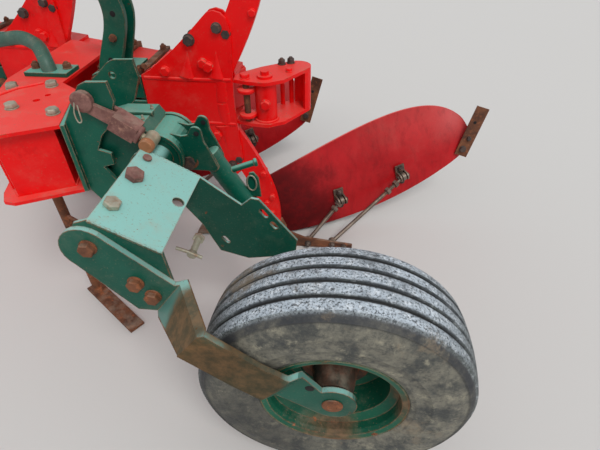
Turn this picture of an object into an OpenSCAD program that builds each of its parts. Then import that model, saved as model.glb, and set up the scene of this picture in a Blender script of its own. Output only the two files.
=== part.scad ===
// Reversible mouldboard plough with three pairs of bodies and a depth wheel.
// Origin on the ground under the middle of the plough, +X is the way it travels, +Y is its left.

/* [Frame] */
// Height of the middle of the main beam above the ground
frame_h = 755; // [740:1:780]
// Outer side of the square main beam
beam_s = 160; // [150:1:165]
// Wall of the main beam
beam_wall = 10; // [6:1:14]
// Forward distance from one body to the next
pitch_x = 850; // [840:5:900]
// Furrow width, the sideways distance from one body to the next
pitch_y = 320; // [310:1:330]
// Sideways distance from the leg plane to the middle of the beam
beam_offset = 174; // [172:1:185]

/* [Leg brackets] */
// Thickness of the leg bracket's side plates
bracket_t = 12; // [8:1:16]
// Thickness of the saddle plates over and under the beam
saddle_t = 14; // [10:1:18]
// Reach of the bracket's triangular plates above and below the beam's middle
bracket_reach = 343; // [320:1:360]
// Thickness of a leg
leg_t = 28; // [20:1:32]
// Width of a leg at its bracket
leg_w_top = 125; // [100:1:130]
// Width of a leg at its foot
leg_w_foot = 84; // [70:1:90]

/* [Bodies] */
// Thickness of a mouldboard
board_t = 8; // [6:0.5:10]
// How far the middle of a mouldboard bellies out at its back
board_belly = 38; // [10:1:50]
// Height of a share's upper edge
share_h = 100; // [80:1:110]
// Thickness of a share
share_t = 12; // [8:1:14]
// Length of the reversible point bar
point_l = 268; // [250:2:270]
// Width of the point bar
point_w = 60; // [50:1:70]
// Thickness of a landside
landside_t = 12; // [8:1:14]
// Width of the flat bar that lengthens a mouldboard at its tail
tail_w = 62; // [50:1:70]
// Length of that flat bar
tail_l = 260; // [220:5:280]
// Diameter of a mouldboard stay
stay_d = 20; // [14:1:24]

/* [Skimmers] */
// Reach of a skimmer's stem above and below the beam's middle
skim_reach = 470; // [440:5:480]
// Width of a skimmer's stem
skim_w = 70; // [60:1:80]
// Thickness of a skimmer's stem
skim_t = 22; // [16:1:26]

/* [Depth wheel] */
// Outer diameter of the tyre
tyre_d = 760; // [740:1:780]
// Width of the tyre
tyre_w = 262; // [240:1:264]
// Outer diameter of the rim's flange
rim_d = 396; // [390:1:402]
// Depth of the four grooves round the tread
groove_depth = 9; // [6:0.5:12]
// Width of a groove
groove_w = 12; // [8:1:14]
// Diameter of the wheel's spindle
spindle_d = 56; // [50:1:60]
// Thickness of the bent flat bar that holds the wheel
bar_t = 16; // [12:1:18]
// Diameter of the wheel arm's pivot tube
pivot_d = 92; // [84:1:96]
// Thickness of the wheel arm's channel plates
channel_t = 10; // [8:1:12]

/* [Headstock] */
// Diameter of the turnover shaft
shaft_d = 100; // [90:1:110]
// Outer diameter of the hub that turns on it
turn_hub_d = 190; // [180:1:200]
// Diameter of the lower link pins
link_pin_d = 28; // [28:0.1:28.7]
// Width over the headstock's cheek plates
link_span = 760; // [750:1:770]
// Height of the top link bore above the lower link pins
mast_h = 610; // [600:1:620]
// Diameter of the top link bore
top_bore_d = 25.7; // [25.4:0.1:26]

/* [Hidden] */
$fn = 48;

red = [0.80, 0.06, 0.05];
dark_red = [0.50, 0.04, 0.06];
green = [0.10, 0.36, 0.28];
rust = [0.42, 0.24, 0.14];
steel = [0.50, 0.48, 0.46];
black = [0.10, 0.10, 0.11];

// Place of the wheel's hub, under which the plough's own measures start
hub_x = -1280;
hub_y = 985;
bodies = 3;
leg_x = 600;
leg_y = -910;
line_a = atan(pitch_y / pitch_x);
pitch_l = sqrt(pitch_x * pitch_x + pitch_y * pitch_y);
// Half height of the space between the saddle plates
half_s = beam_s / 2;
saddle_top = half_s + saddle_t;
// Left face of the beam where it crosses a leg bracket's middle
beam_left = -beam_offset + half_s / cos(line_a);
beam_right = -beam_offset - half_s / cos(line_a);

function mix(a, b, t) = a * (1 - t) + b * t;
function bezier(p, t) =
  pow(1 - t, 3) * p[0] + 3 * t * pow(1 - t, 2) * p[1] + 3 * t * t * (1 - t) * p[2] + pow(t, 3) * p[3];
function arc(centre, r, from, to, n) =
  [for (i = [0 : n]) let (a = from + (to - from) * i / n) [centre[0] + r * cos(a), centre[1] + r * sin(a)]];
function reversed(list) = [for (i = [len(list) - 1 : -1 : 0]) list[i]];

// Everything stands in measures that start under the wheel's hub
module placed() {
  translate([hub_x, hub_y, 0]) children();
}

module at_leg(i) {
  placed() translate([leg_x + i * pitch_x, leg_y - i * pitch_y, frame_h]) children();
}

module on_beam() {
  at_leg(0) translate([0, -beam_offset, 0]) rotate([0, 0, -line_a]) children();
}

// The upper set is the lower one mirrored in the level of the beam
module upper() {
  mirror([0, 0, 1]) children();
}

// A plate in the plane of travel, from an outline of X and Z, between two Y places
module side_plate(outline, y_low, y_high) {
  translate([0, y_high, 0]) rotate([90, 0, 0]) linear_extrude(y_high - y_low) polygon(outline);
}

// A round bar between two points
module bar_between(a, b, d) {
  v = b - a;
  h = norm(v);
  translate(a) rotate([0, acos(v[2] / h), atan2(v[1], v[0])]) cylinder(d = d, h = h);
}

/* Frame */
beam_rear = -128;
beam_front = 2 * pitch_l + 600;

module main_beam() {
  color(red) on_beam() difference() {
    translate([beam_rear, -half_s, -half_s]) cube([beam_front - beam_rear, beam_s, beam_s]);
    translate([beam_rear - 1, -half_s + beam_wall, -half_s + beam_wall])
      cube([beam_front - beam_rear - 20, beam_s - 2 * beam_wall, beam_s - 2 * beam_wall]);
  }
}

// The turnover axis stands over the middle body's leg plane
turn_y = leg_y - pitch_y;
turn_x0 = leg_x + 2 * pitch_x + 410;
turn_x1 = turn_x0 + 240;
turn_r = turn_hub_d / 2;
beam_end = [leg_x, leg_y - beam_offset] + beam_front * [cos(line_a), -sin(line_a)];
beam_left_end = beam_end + (half_s + 0.05) * [sin(line_a), cos(line_a)];

// Cross member from the beam's front end to the turnover hub
cross_w = 150;
cross_h = beam_s + 12;
module front_frame() {
  inner = beam_left_end - cross_w * [cos(line_a), -sin(line_a)];
  mid_x = (turn_x0 + turn_x1) / 2;
  color(red) placed() translate([0, 0, frame_h]) difference() {
    translate([0, 0, -cross_h / 2]) linear_extrude(cross_h)
      polygon([beam_left_end, inner, [mid_x - cross_w / 2, turn_y - turn_r * 0.6],
        [mid_x + cross_w / 2, turn_y - turn_r * 0.6]]);
    translate([turn_x0 - 50, turn_y, 0]) rotate([0, 90, 0]) cylinder(r = turn_r, h = 400, $fn = 72);
  }
}

crank_r = 137;
crank_a = 31;
crank_pin = crank_r * [cos(crank_a), sin(crank_a)];
crank_t = 26;
// Hub of the turnover shaft with the crank that its cylinder pushes
module turnover_hub() {
  color(red) placed() translate([0, turn_y, frame_h]) difference() {
    union() {
      translate([turn_x0, 0, 0]) rotate([0, 90, 0]) cylinder(r = turn_r, h = turn_x1 - turn_x0, $fn = 72);
      translate([turn_x1 - crank_t, 0, 0]) rotate([0, 90, 0]) cylinder(r = turn_r + 8, h = crank_t, $fn = 72);
      translate([turn_x1 - crank_t + 2, 0, 0]) rotate([90, 0, 90]) linear_extrude(crank_t - 5)
        polygon(concat(arc([0, 0], turn_r - 6, crank_a + 75, crank_a + 285, 6),
          arc(crank_pin, 36, crank_a - 80, crank_a + 80, 12)));
      translate([turn_x1 - 6, crank_pin[0], crank_pin[1]]) rotate([0, 90, 0]) cylinder(d = 34, h = 14);
    }
    translate([turn_x0 - 1, 0, 0]) rotate([0, 90, 0])
      cylinder(d = shaft_d + 0.1, h = turn_x1 - turn_x0 + 20, $fn = 72);
  }
}

/* Leg brackets */
bracket_rear_x = -140;
bracket_front_x = 224;
tri = [[bracket_front_x, 0], [bracket_front_x, saddle_top + 10], [182, 125], [86, 196], [13, 259], [-49, 316],
  [-72, bracket_reach - 6], [-97, bracket_reach], [-122, bracket_reach - 7], [-140, 318], [-150, 290],
  [-152, 228], [-143, 112], [bracket_rear_x, 0]];
full_outline = concat(tri, [for (i = [len(tri) - 2 : -1 : 1]) [tri[i][0], -tri[i][1]]]);
leg_y0 = -bracket_t;
leg_y1 = leg_y0 - leg_t;
far_plate_y = leg_y1 - bracket_t;

// One saddle plate over the beam, slotted for the leg
module saddle() {
  translate([0, 0, half_s]) difference() {
    linear_extrude(saddle_t)
      polygon([[bracket_front_x, leg_y0], [bracket_front_x, beam_right - bracket_front_x * tan(line_a)],
        [bracket_rear_x, beam_right - bracket_rear_x * tan(line_a)], [bracket_rear_x, leg_y0]]);
    translate([-152, leg_y1 - 1, -1]) cube([240, leg_t + 2, saddle_t + 2]);
  }
}

module leg_bracket(i) {
  color(red) at_leg(i) {
    side_plate(full_outline, leg_y0, 0);
    saddle();
    upper() saddle();
    for (side = [0, 1]) mirror([0, 0, side]) intersection() {
      side_plate(full_outline, far_plate_y, leg_y1);
      translate([-500, -200, saddle_top]) cube([1000, 300, 400]);
    }
    translate([0, 0, -half_s]) linear_extrude(beam_s)
      polygon([[bracket_front_x - 12, leg_y0], [bracket_front_x, leg_y0],
        [bracket_front_x, beam_left - bracket_front_x * tan(line_a)],
        [bracket_front_x - 12, beam_left - (bracket_front_x - 12) * tan(line_a)]]);
  }
}

// Plan of the yoke behind the rear bracket, with rounded rear corners
yoke_plan = concat([[-142.9, -12], [-200, 8]], arc([-262, -40], 56, 80, 130, 5),
  [[-340, -22]], arc([-375, -185], 58, 160, 300, 8), [[-300, -205], [-230, -157], [-170, -100], [-142.9, -70]]);
barrel_x = -262;
barrel_y = -44;
barrel_r = 44;
module end_yoke() {
  color(red) at_leg(0) {
    for (side = [0, 1]) mirror([0, 0, side]) translate([0, 0, half_s]) difference() {
      linear_extrude(saddle_t) polygon(yoke_plan);
      translate([barrel_x, barrel_y, -1]) cylinder(d = 40, h = 40);
    }
    translate([0, 0, -half_s]) linear_extrude(beam_s)
      polygon(concat(arc([-375, -185], 58, 130, 290, 10), arc([-375, -185], 44, 290, 130, 10)));
    for (a = [0, 1])
      translate([-345 + 36 * a, -212 + 18 * a, -half_s]) cylinder(d = 20, h = beam_s);
  }
}

module yoke_barrel() {
  color(red) at_leg(0) {
    translate([barrel_x, barrel_y, -half_s]) cylinder(r = barrel_r, h = beam_s);
    for (side = [0, 1]) mirror([0, 0, side]) {
      translate([barrel_x, barrel_y, half_s - 1]) cylinder(d = 39.4, h = saddle_t + 1);
      translate([barrel_x, barrel_y, saddle_top]) cylinder(d = 62, h = 10);
      translate([barrel_x, barrel_y, saddle_top + 9]) cylinder(d = 34, h = 16, $fn = 6);
    }
  }
}

/* Legs and bodies, each drawn for the rear body from the leg plane and the beam's level */
leg_foot_z = 149 - frame_h;
leg_path = [[-8, -4], [-130, 0.363 * leg_foot_z], [-262, 0.627 * leg_foot_z], [-262, leg_foot_z]];
leg_steps = 18;
function leg_edge(side) = [for (i = [0 : leg_steps])
  let (t = i / leg_steps, p = bezier(leg_path, t),
    q = bezier(leg_path, min(1, t + 0.02)) - bezier(leg_path, max(0, t - 0.02)),
    w = mix(leg_w_top, leg_w_foot, t) / 2)
  p + side * w * [-q[1], q[0]] / norm(q)];

module leg() {
  intersection() {
    side_plate(concat(leg_edge(1), reversed(leg_edge(-1))), leg_y1, leg_y0);
    translate([-600, -200, leg_foot_z]) cube([900, 300, -leg_foot_z - 3]);
  }
}

frog_outline = [[-310, 149], [-214, 149], [-172, 128], [-140, 70], [-40, 40], [-40, 24], [-330, 24], [-330, 100]];
module frog() {
  translate([0, 0, -frame_h]) side_plate(frog_outline, leg_y1, leg_y0);
}

// Lower and upper edges of a mouldboard from shin to tail, X and Y from the leg plane, Z from the ground
shin_y = -40.3;
edge_low = [[-130, shin_y, 14], [-350, shin_y - 35, 8], [-850, -285, 10], [-1240, -490, 320]];
edge_top = [[-170, shin_y, 335], [-500, -200, 450], [-1020, -725, 640], [-1221, -520, 453]];
board_nu = 18;
board_nv = 5;
// Horizontal way from the back of the board to its front, the side that the soil meets
board_n = [0.47, -0.88, 0];
function board_at(u, v) =
  mix(bezier(edge_low, u), bezier(edge_top, u), v)
  - board_belly * sin(180 * v) * sin(180 * min(1, u * 1.25) / 1.25) * board_n;

// A closed shell between two grids of points that share their rims
module shell(back, front, nu, nv) {
  m = (nu + 1) * (nv + 1);
  function at(i, j) = i * (nv + 1) + j;
  faces = concat(
    [for (i = [0 : nu - 1], j = [0 : nv - 1]) each [
      [at(i, j), at(i + 1, j), at(i + 1, j + 1)], [at(i, j), at(i + 1, j + 1), at(i, j + 1)],
      [m + at(i, j), m + at(i + 1, j + 1), m + at(i + 1, j)],
      [m + at(i, j), m + at(i, j + 1), m + at(i + 1, j + 1)]]],
    [for (i = [0 : nu - 1]) each [
      [at(i, 0), m + at(i, 0), m + at(i + 1, 0)], [at(i, 0), m + at(i + 1, 0), at(i + 1, 0)],
      [at(i, nv), m + at(i + 1, nv), m + at(i, nv)], [at(i, nv), at(i + 1, nv), m + at(i + 1, nv)]]],
    [for (j = [0 : nv - 1]) each [
      [at(0, j), m + at(0, j + 1), m + at(0, j)], [at(0, j), at(0, j + 1), m + at(0, j + 1)],
      [at(nu, j), m + at(nu, j), m + at(nu, j + 1)], [at(nu, j), m + at(nu, j + 1), at(nu, j + 1)]]]);
  polyhedron(concat(back, front), [for (f = faces) reversed(f)], convexity = 6);
}

module mouldboard() {
  grid = [for (i = [0 : board_nu], j = [0 : board_nv]) board_at(i / board_nu, j / board_nv)];
  translate([0, 0, -frame_h]) shell(grid, [for (p = grid) p + board_t * board_n], board_nu, board_nv);
}

// Cutting edge of a share on the ground, from its tip by the point to its wing
share_tip = [20, shin_y - point_w - 4, 1];
share_wing = [-470, -345, 1];
share_u = [0.25, 0.45];
share_n = 6;
module share() {
  function top(u) = let (low = board_at(u, 0)[2], high = board_at(u, 1)[2])
    board_at(u, (share_h - low) / (high - low)) + (board_t + 1.6) * board_n;
  back = [for (i = [0 : share_n]) let (t = i / share_n, p = top(mix(share_u[0], share_u[1], t)))
    each [[p[0], p[1], share_h], mix(share_tip, share_wing, t) + [0, 0, share_t / 4]]];
  under = [for (i = [0 : share_n]) let (t = i / share_n, p = top(mix(share_u[0], share_u[1], t)))
    each [[p[0], p[1], share_h - share_t * 1.3], mix(share_tip, share_wing, t) - [0, 0, 1]]];
  translate([0, 0, -frame_h]) shell(back, under, share_n, 1);
}

// Reversible chisel bar under the share's tip
point_a = 12;
point_t = 20;
module point() {
  translate([150, leg_y1, -frame_h + 1]) rotate([0, -180 + point_a, 0]) translate([0, -point_w, -point_t])
    rotate([90, 0, 0]) mirror([0, 0, 1]) linear_extrude(point_w)
      polygon([[0, point_t], [20, 0], [point_l, 0], [point_l, point_t]]);
}

landside_outline = [[-130, 4], [-130, 110], [-300, 110], [-420, 60], [-660, 30], [-660, 4]];
module landside() {
  translate([0, 0, -frame_h]) side_plate(landside_outline, leg_y0, leg_y0 + landside_t);
}

// Flat bar bolted to the back of the board's tail, and how far it stands off the board's lower corner
tail_gap = 12.2;
module tail_piece() {
  translate([0, 0, -frame_h]) translate(board_at(0.965, 0.1) + [0, tail_gap, 0]) rotate([12, -14, -6])
    translate([-tail_w / 2, 0, 0]) cube([tail_w, 10, tail_l]);
}

stay_u = [0.42, 0.68];
stay_foot_x = [-440, -560];
stay_off = [30.5, 35];
// Adjustable rods from brackets on the board's back to the landside's tail
module stays() {
  for (k = [0, 1]) {
    p = board_at(stay_u[k], 0.32) - stay_off[k] * board_n;
    foot = [stay_foot_x[k], leg_y0 - stay_d / 2, 26];
    translate([0, 0, -frame_h]) {
      bar_between(foot, p, stay_d);
      translate(foot) rotate([90, 0, 0]) cylinder(d = 34, h = stay_d, center = true);
      translate(p) rotate([0, 0, -28]) translate([-8, -38, -24]) cube([14, 52, 48]);
    }
  }
}

module each_body() {
  for (i = [0 : bodies - 1]) at_leg(i) children();
}

module legs_lower() { color(red) each_body() leg(); }
module legs_upper() { color(red) each_body() upper() leg(); }
module frogs_lower() { color(rust) each_body() frog(); }
module frogs_upper() { color(rust) each_body() upper() frog(); }
module mouldboard_lower(i) { color(dark_red) at_leg(i) mouldboard(); }
module mouldboard_upper(i) { color(dark_red) at_leg(i) upper() mouldboard(); }
module shares_lower() { color(rust) each_body() share(); }
module shares_upper() { color(rust) each_body() upper() share(); }
module points_lower() { color(rust) each_body() point(); }
module points_upper() { color(rust) each_body() upper() point(); }
module landsides_lower() { color(rust) each_body() landside(); }
module landsides_upper() { color(rust) each_body() upper() landside(); }
module tail_pieces() { color(rust) each_body() tail_piece(); }
module stays_lower() { color(steel) each_body() stays(); }
module stays_upper() { color(steel) each_body() upper() stays(); }

/* Skimmers, one ahead of each body */
skim_x = 330;
skim_y = -34;
// Play between pieces that are clamped together
seat = 0.3;
module skimmer_clamps() {
  color(green) each_body() {
    left = beam_left - skim_x * tan(line_a);
    difference() {
      translate([skim_x - 70, 0, 0]) for (side = [0, 1]) mirror([0, 0, side])
        translate([0, 0, half_s]) linear_extrude(18)
          polygon([[0, skim_y + 30], [140, skim_y + 30],
            [140, beam_right - (skim_x + 70) * tan(line_a)], [0, beam_right - (skim_x - 70) * tan(line_a)]]);
      translate([skim_x - skim_w / 2 - seat, skim_y - skim_t / 2 - seat, -300])
        cube([skim_w + 2 * seat, skim_t + 2 * seat, 600]);
    }
    translate([skim_x - 60, skim_y + skim_t / 2 + seat, -half_s]) cube([120, 14, beam_s]);
  }
}

module skimmer_stems() {
  color(green) each_body() difference() {
    translate([skim_x - skim_w / 2, skim_y - skim_t / 2, -skim_reach]) cube([skim_w, skim_t, 2 * skim_reach]);
    for (side = [-1, 1], k = [0 : 3])
      translate([skim_x, 0, side * (200 + 55 * k)]) rotate([90, 0, 0]) cylinder(d = 18, h = 200, center = true);
  }
}

skim_low = [[90, 0, -150], [20, -20, -158], [-60, -70, -150], [-120, -150, -120]];
skim_top = [[60, 0, 40], [0, -30, 60], [-90, -90, 70], [-150, -190, 50]];
function skim_at(u, v) = mix(bezier(skim_low, u), bezier(skim_top, u), v)
  - 12 * sin(180 * v) * board_n;
skim_in = 11;
module skimmer_blade() {
  grid = [for (i = [0 : 8], j = [0 : 3]) skim_at(i / 8, j / 3)];
  translate([skim_x + 12, skim_y - skim_t / 2 + skim_in, -skim_reach + 60])
    shell(grid, [for (p = grid) p + 7 * board_n], 8, 3);
}
module skimmers_lower() { color(green) each_body() skimmer_blade(); }
module skimmers_upper() { color(green) each_body() upper() skimmer_blade(); }

/* Carrier of the depth wheel and of the parking stand */
carrier_h = 125;
carrier_t = 12;
carrier_in = [890, -430];
carrier_out = [975, -700];
carrier_x0 = 1060;
carrier_x1 = 1290;
function beam_face(x) = leg_y + beam_left - (x - leg_x) * tan(line_a);
carrier_plan = [carrier_in, carrier_out, [carrier_x0, -760], [carrier_x0, beam_face(carrier_x0)],
  [carrier_x1, beam_face(carrier_x1)], [carrier_x1, -780], [1215, -560], [1150, -380], [1120, -335], [1080, -330]];
stand_x = 1085;
stand_y = -525;
stand_d = 36;
stand_fit = 0.4;
module carrier_plates() {
  color(red) placed() for (side = [0, 1]) translate([0, 0, frame_h]) mirror([0, 0, side])
    translate([0, 0, carrier_h - carrier_t]) difference() {
      linear_extrude(carrier_t) polygon(carrier_plan);
      if (side == 1) translate([stand_x, stand_y, -1]) cylinder(d = stand_d + 2 * stand_fit, h = carrier_t + 2);
    }
}

wall_plan = [[925, -446], [990, -652], [1104, -730], [1104, beam_face(1104)], [1250, beam_face(1250)],
  [1250, -770], [1180, -560], [1120, -400], [1085, -366]];
wall_inner = [[939, -456], [1001, -645], [1118, -724], [1118, beam_face(1118)], [1236, beam_face(1236)],
  [1236, -772], [1166, -560], [1110, -408], [1079, -380]];
module carrier_box() {
  color(red) placed() translate([0, 0, frame_h - carrier_h + carrier_t]) difference() {
    linear_extrude(2 * (carrier_h - carrier_t)) polygon(wall_plan);
    translate([0, 0, 6]) linear_extrude(2 * (carrier_h - carrier_t) - 12) polygon(wall_inner);
    translate([stand_x, stand_y, -1]) cylinder(d = stand_d + 2 * stand_fit, h = 20);
  }
}

stand_top = 700;
foot_end = [824, -338];
// Parking leg: a round bar on a long flat foot
module stand_leg() {
  foot_v = foot_end - [stand_x, stand_y];
  color(rust) placed() {
    translate([stand_x, stand_y, 8]) cylinder(d = stand_d, h = stand_top - 8);
    translate([stand_x, stand_y, 0]) rotate([0, 0, atan2(foot_v[1], foot_v[0])])
      translate([-40, -32, 0]) cube([norm(foot_v) + 40, 64, 12]);
  }
}

/* Bracket and pivot of the depth wheel */
pivot_x = 615;
plate_near_y = -450;
plate_far_y = -640;
c_half = [[800, 245], [774, 257], [708, 259], [700, 200], [735, 120], [773, 84], [802, 32], [762, 20]];
function c_shape(front) = concat([[front, 116]], c_half, [for (p = reversed(c_half)) [p[0], -p[1]]], [[front, -116]]);
module wheel_bracket() {
  v = carrier_out - carrier_in;
  color(green) placed() translate([0, 0, frame_h]) {
    difference() {
      union() {
        side_plate(c_shape(888), plate_near_y - 12, plate_near_y);
        side_plate(c_shape(948), plate_far_y - 12, plate_far_y);
      }
      translate([screw_top[0], 0, screw_top[2]]) rotate([90, 0, 0]) cylinder(d = 22.6, h = 900);
    }
    translate([carrier_in[0], carrier_in[1], -carrier_h + 2]) rotate([0, 0, atan2(v[1], v[0])])
      translate([0, -14.3, 0]) cube([norm(v), 14, 2 * carrier_h - 4]);
  }
}

housing_outline = concat([[886, -70], [886, 70], [760, 108], [650, 110]],
  arc([pivot_x, 0], 78, 80, 280, 20), [[760, -95]]);
housing_y0 = -640;
housing_y1 = -478;
module pivot_housing() {
  color(green) placed() translate([0, 0, frame_h]) difference() {
    side_plate(housing_outline, housing_y0, housing_y1);
    translate([pivot_x, 0, 0]) rotate([90, 0, 0]) cylinder(d = pivot_d + 0.12, h = 800, $fn = 72);
  }
}

// Adjusting screw, forked over the near plate's hook, with its eye beside the arm's lug
screw_top = [790, -456, 205];
screw_eye = [612, -436, 80];
screw_dir = [-0.818, -0.575];
function on_screw(along, aside) =
  [screw_top[0], screw_top[2]] + along * screw_dir + aside * [screw_dir[1], -screw_dir[0]];
screw_block = [95, 175];
module depth_screw() {
  from = on_screw(screw_block[0], 0);
  to = on_screw(screw_block[1], 0);
  color(rust) placed() translate([0, 0, frame_h]) {
    for (y = [plate_near_y + 2, plate_near_y - 28])
      side_plate(concat(arc([screw_top[0], screw_top[2]], 30, -60, 200, 12),
        [on_screw(screw_block[0] + 12, 24), on_screw(screw_block[0] + 12, -24)]), y, y + 14);
    translate([screw_top[0], -427, screw_top[2]]) rotate([90, 0, 0]) cylinder(d = 22, h = 60);
    translate([from[0], screw_eye[1], from[1]]) rotate([0, -atan2(screw_dir[1], screw_dir[0]), 0])
      translate([0, -38, -26]) cube([screw_block[1] - screw_block[0], 62, 52]);
    bar_between([to[0], screw_eye[1], to[1]], screw_eye, 24);
    translate(screw_eye) sphere(d = 40);
  }
}

module latch() {
  color(green) placed() translate([0, 0, frame_h]) {
    translate([562, -610, 78.1]) cube([60, 60, 50]);
    bar_between([590, -580, 100], [440, -640, 40], 22);
    bar_between([440, -640, 40], [395, -560, 70], 18);
  }
}

/* Wheel arm */
chan_near_y = -62;
chan_far_y = -410;
// Upper edge of the channel, seen from the side
chan_top = [[630, 74], [458, -22]];
near_outline = concat(chan_top, [[450, -130], [505, -225], [560, -236], [690, -75], [700, 10], [668, 60]]);
far_outline = concat(arc([pivot_x, 0], 66, -60, 60, 10), chan_top, [[335, -122], [302, -92], [276, -96],
  [152, -262], [160, -330], [330, -360], [430, -330], [480, -210], [540, -120]]);
module arm_channel() {
  color(green) placed() translate([0, 0, frame_h]) difference() {
    union() {
      side_plate(near_outline, chan_near_y, chan_near_y + channel_t);
      side_plate(far_outline, chan_far_y, chan_far_y + channel_t);
      side_plate(concat(chan_top, [chan_top[1] + [5, -9], chan_top[0] + [6, -8]]),
        chan_far_y, chan_near_y + channel_t);
      translate([pivot_x, chan_near_y + 5, 0]) rotate([90, 0, 0])
        cylinder(d = pivot_d, h = chan_near_y + 5 - housing_y0 + 22, $fn = 72);
      translate([pivot_x, housing_y0 - 0.6, 0]) rotate([90, 0, 0]) cylinder(d = 124, h = 14);
    }
    translate([pivot_x, chan_far_y + 40, 0]) rotate([90, 0, 0]) cylinder(d = pivot_d - 24, h = 400);
  }
}

// The bar is bent on lines square to its length: out ahead of the tyre, along its sidewall 5 mm off, and in to the hub
tyre_r = tyre_d / 2;
bar_lean = 36.87;
bar_y = [chan_near_y + channel_t + bar_t / 2, tyre_w / 2 + bar_t / 2 + 5, tyre_w / 2 - 19];
bend_x = [262, tyre_r * 0.8 - 104, rim_d / 2 - 243, rim_d / 2 - 283];
bar_path = [[900, bar_y[0]], [bend_x[0], bar_y[0]], [bend_x[1], bar_y[1]], [bend_x[2], bar_y[1]],
  [bend_x[3], bar_y[2]], [-700, bar_y[2]]];
hub_z = tyre_r - frame_h;
function unit(v) = v / norm(v);
function left_of(v) = [-v[1], v[0]];
function mitre(a, b, c, d) =
  let (n = left_of(unit(b - a)), m = unit(n + left_of(unit(c - b)))) b + m * d / (m * n);
// Path of the bar moved aside by half its thickness
function bar_side(d) = concat([bar_path[0] + [0, -d]],
  [for (i = [1 : 4]) mitre(bar_path[i - 1], bar_path[i], bar_path[i + 1], d)], [bar_path[5] + [0, -d]]);
bar_outline = concat(arc([652, -16], 70, -50, 130, 12),
  [[440, -125], [tyre_r - 80, -72], [178, -182], [92, -240]],
  arc([0, hub_z], 64, 60, 300, 18), [[150, -352], [257, -270], [tyre_r - 1, -160], [500, -234], [566, -234]]);
module arm_bar() {
  color(green) placed() translate([0, 0, frame_h]) {
    intersection() {
      rotate([0, -bar_lean, 0]) translate([0, 0, -900]) linear_extrude(1800)
        polygon(concat(bar_side(bar_t / 2), reversed(bar_side(-bar_t / 2))));
      side_plate(bar_outline, -300, 300);
    }
    translate([0, bar_y[2], hub_z]) rotate([90, 0, 0]) cylinder(d = spindle_d, h = 168);
    translate([0, bar_y[2], hub_z]) rotate([90, 0, 0]) cylinder(d = 84, h = 15);
  }
}

/* Wheel, turned about its axle */
module on_axle() {
  placed() translate([0, 0, tyre_d / 2]) rotate([-90, 0, 0]) children();
}

hub_out = 92;
module wheel_hub() {
  color(rust) on_axle() rotate_extrude($fn = 72)
    polygon([[spindle_d / 2 + 0.06, -70], [62, -70], [62, -20], [100, -20], [100, -4], [66, 4], [56, 70],
      [50, hub_out], [spindle_d / 2 + 0.06, hub_out]]);
}

seat_r = rim_d / 2 - 14;
well_r = rim_d / 2 - 38;
half_w = tyre_w / 2;
module rim() {
  r = rim_d / 2;
  color(green) on_axle() rotate_extrude($fn = 96)
    polygon([[r, 118], [r, 112], [seat_r + 4, 108], [seat_r, 100], [seat_r, 74], [well_r, 60], [well_r, -40],
      [seat_r, -54], [seat_r, -100], [seat_r + 4, -108], [r, -112], [r, -118], [seat_r - 3, -114],
      [seat_r - 7, -100], [seat_r - 7, -58], [well_r - 7, -44], [well_r - 7, -34], [130, -42], [100, -31],
      [62, -31], [62, -20.2], [102, -20.2], [132, -32], [well_r - 7, -24], [well_r - 7, 63],
      [seat_r - 7, 78], [seat_r - 7, 100], [seat_r - 3, 114]]);
}

// Crown of the tyre at a place across it, a shallow arch
function crown(y) = tyre_d / 2 - 9 * pow(y / 100, 2);
groove_y = [-66, -22, 22, 66];
module tyre() {
  tread = [for (g = groove_y) each [[crown(g), g - groove_w / 2], [crown(g) - groove_depth, g - groove_w / 2 + 2],
    [crown(g) - groove_depth, g + groove_w / 2 - 2], [crown(g), g + groove_w / 2]]];
  wall = [[crown(100), 100], [crown(100) - 12, 113], [crown(100) - 40, 124], [tyre_d / 2 - 90, half_w],
    [tyre_d / 2 - 125, half_w - 2], [rim_d / 2 + 12, 121], [rim_d / 2 + 0.3, 112]];
  seat = [[seat_r + 4.3, 108], [seat_r + 0.3, 100], [seat_r + 0.3, 72]];
  side = concat(wall, seat);
  color(black) on_axle() rotate_extrude($fn = 120)
    polygon(concat(tread, side, [for (p = reversed(side)) [p[0], -p[1]]]));
}

/* Headstock, which turns over about the hub's shaft */
head_x0 = turn_x1 + 16;
link_z = -130;
head_w = link_span / 2;
module at_turn() {
  placed() translate([0, turn_y, frame_h]) children();
}

module turnover_shaft() {
  color(steel) at_turn() {
    translate([turn_x0 - 30, 0, 0]) rotate([0, 90, 0])
      cylinder(d = shaft_d, h = head_x0 + 60 - turn_x0 + 30, $fn = 72);
    translate([turn_x0 - 36, 0, 0]) rotate([0, 90, 0]) cylinder(d = 120, h = 30);
  }
}

head_t = 20;
module headstock_beam() {
  color(red) at_turn() difference() {
    union() {
      translate([head_x0, -head_w + head_t, -190]) cube([130, 2 * (head_w - head_t), 120]);
      translate([head_x0, -70, -70.1]) cube([120, 140, 180]);
    }
    translate([head_x0 - 1, 0, 0]) rotate([0, 90, 0]) cylinder(d = shaft_d + 0.1, h = 62, $fn = 72);
  }
}

cheek_outline = concat([[0, -60], [0, -190], [60, -220], [170, -200]], arc([230, link_z], 55, -80, 80, 12),
  [[150, -40]]);
module headstock_cheeks() {
  color(red) at_turn() for (side = [-1, 1])
    translate([head_x0, 0, 0]) difference() {
      side_plate(cheek_outline, side > 0 ? head_w - head_t : -head_w,
        side > 0 ? head_w : -head_w + head_t);
      translate([230, 0, link_z]) rotate([90, 0, 0]) cylinder(d = link_pin_d + 4, h = 1200, center = true);
    }
}

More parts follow.
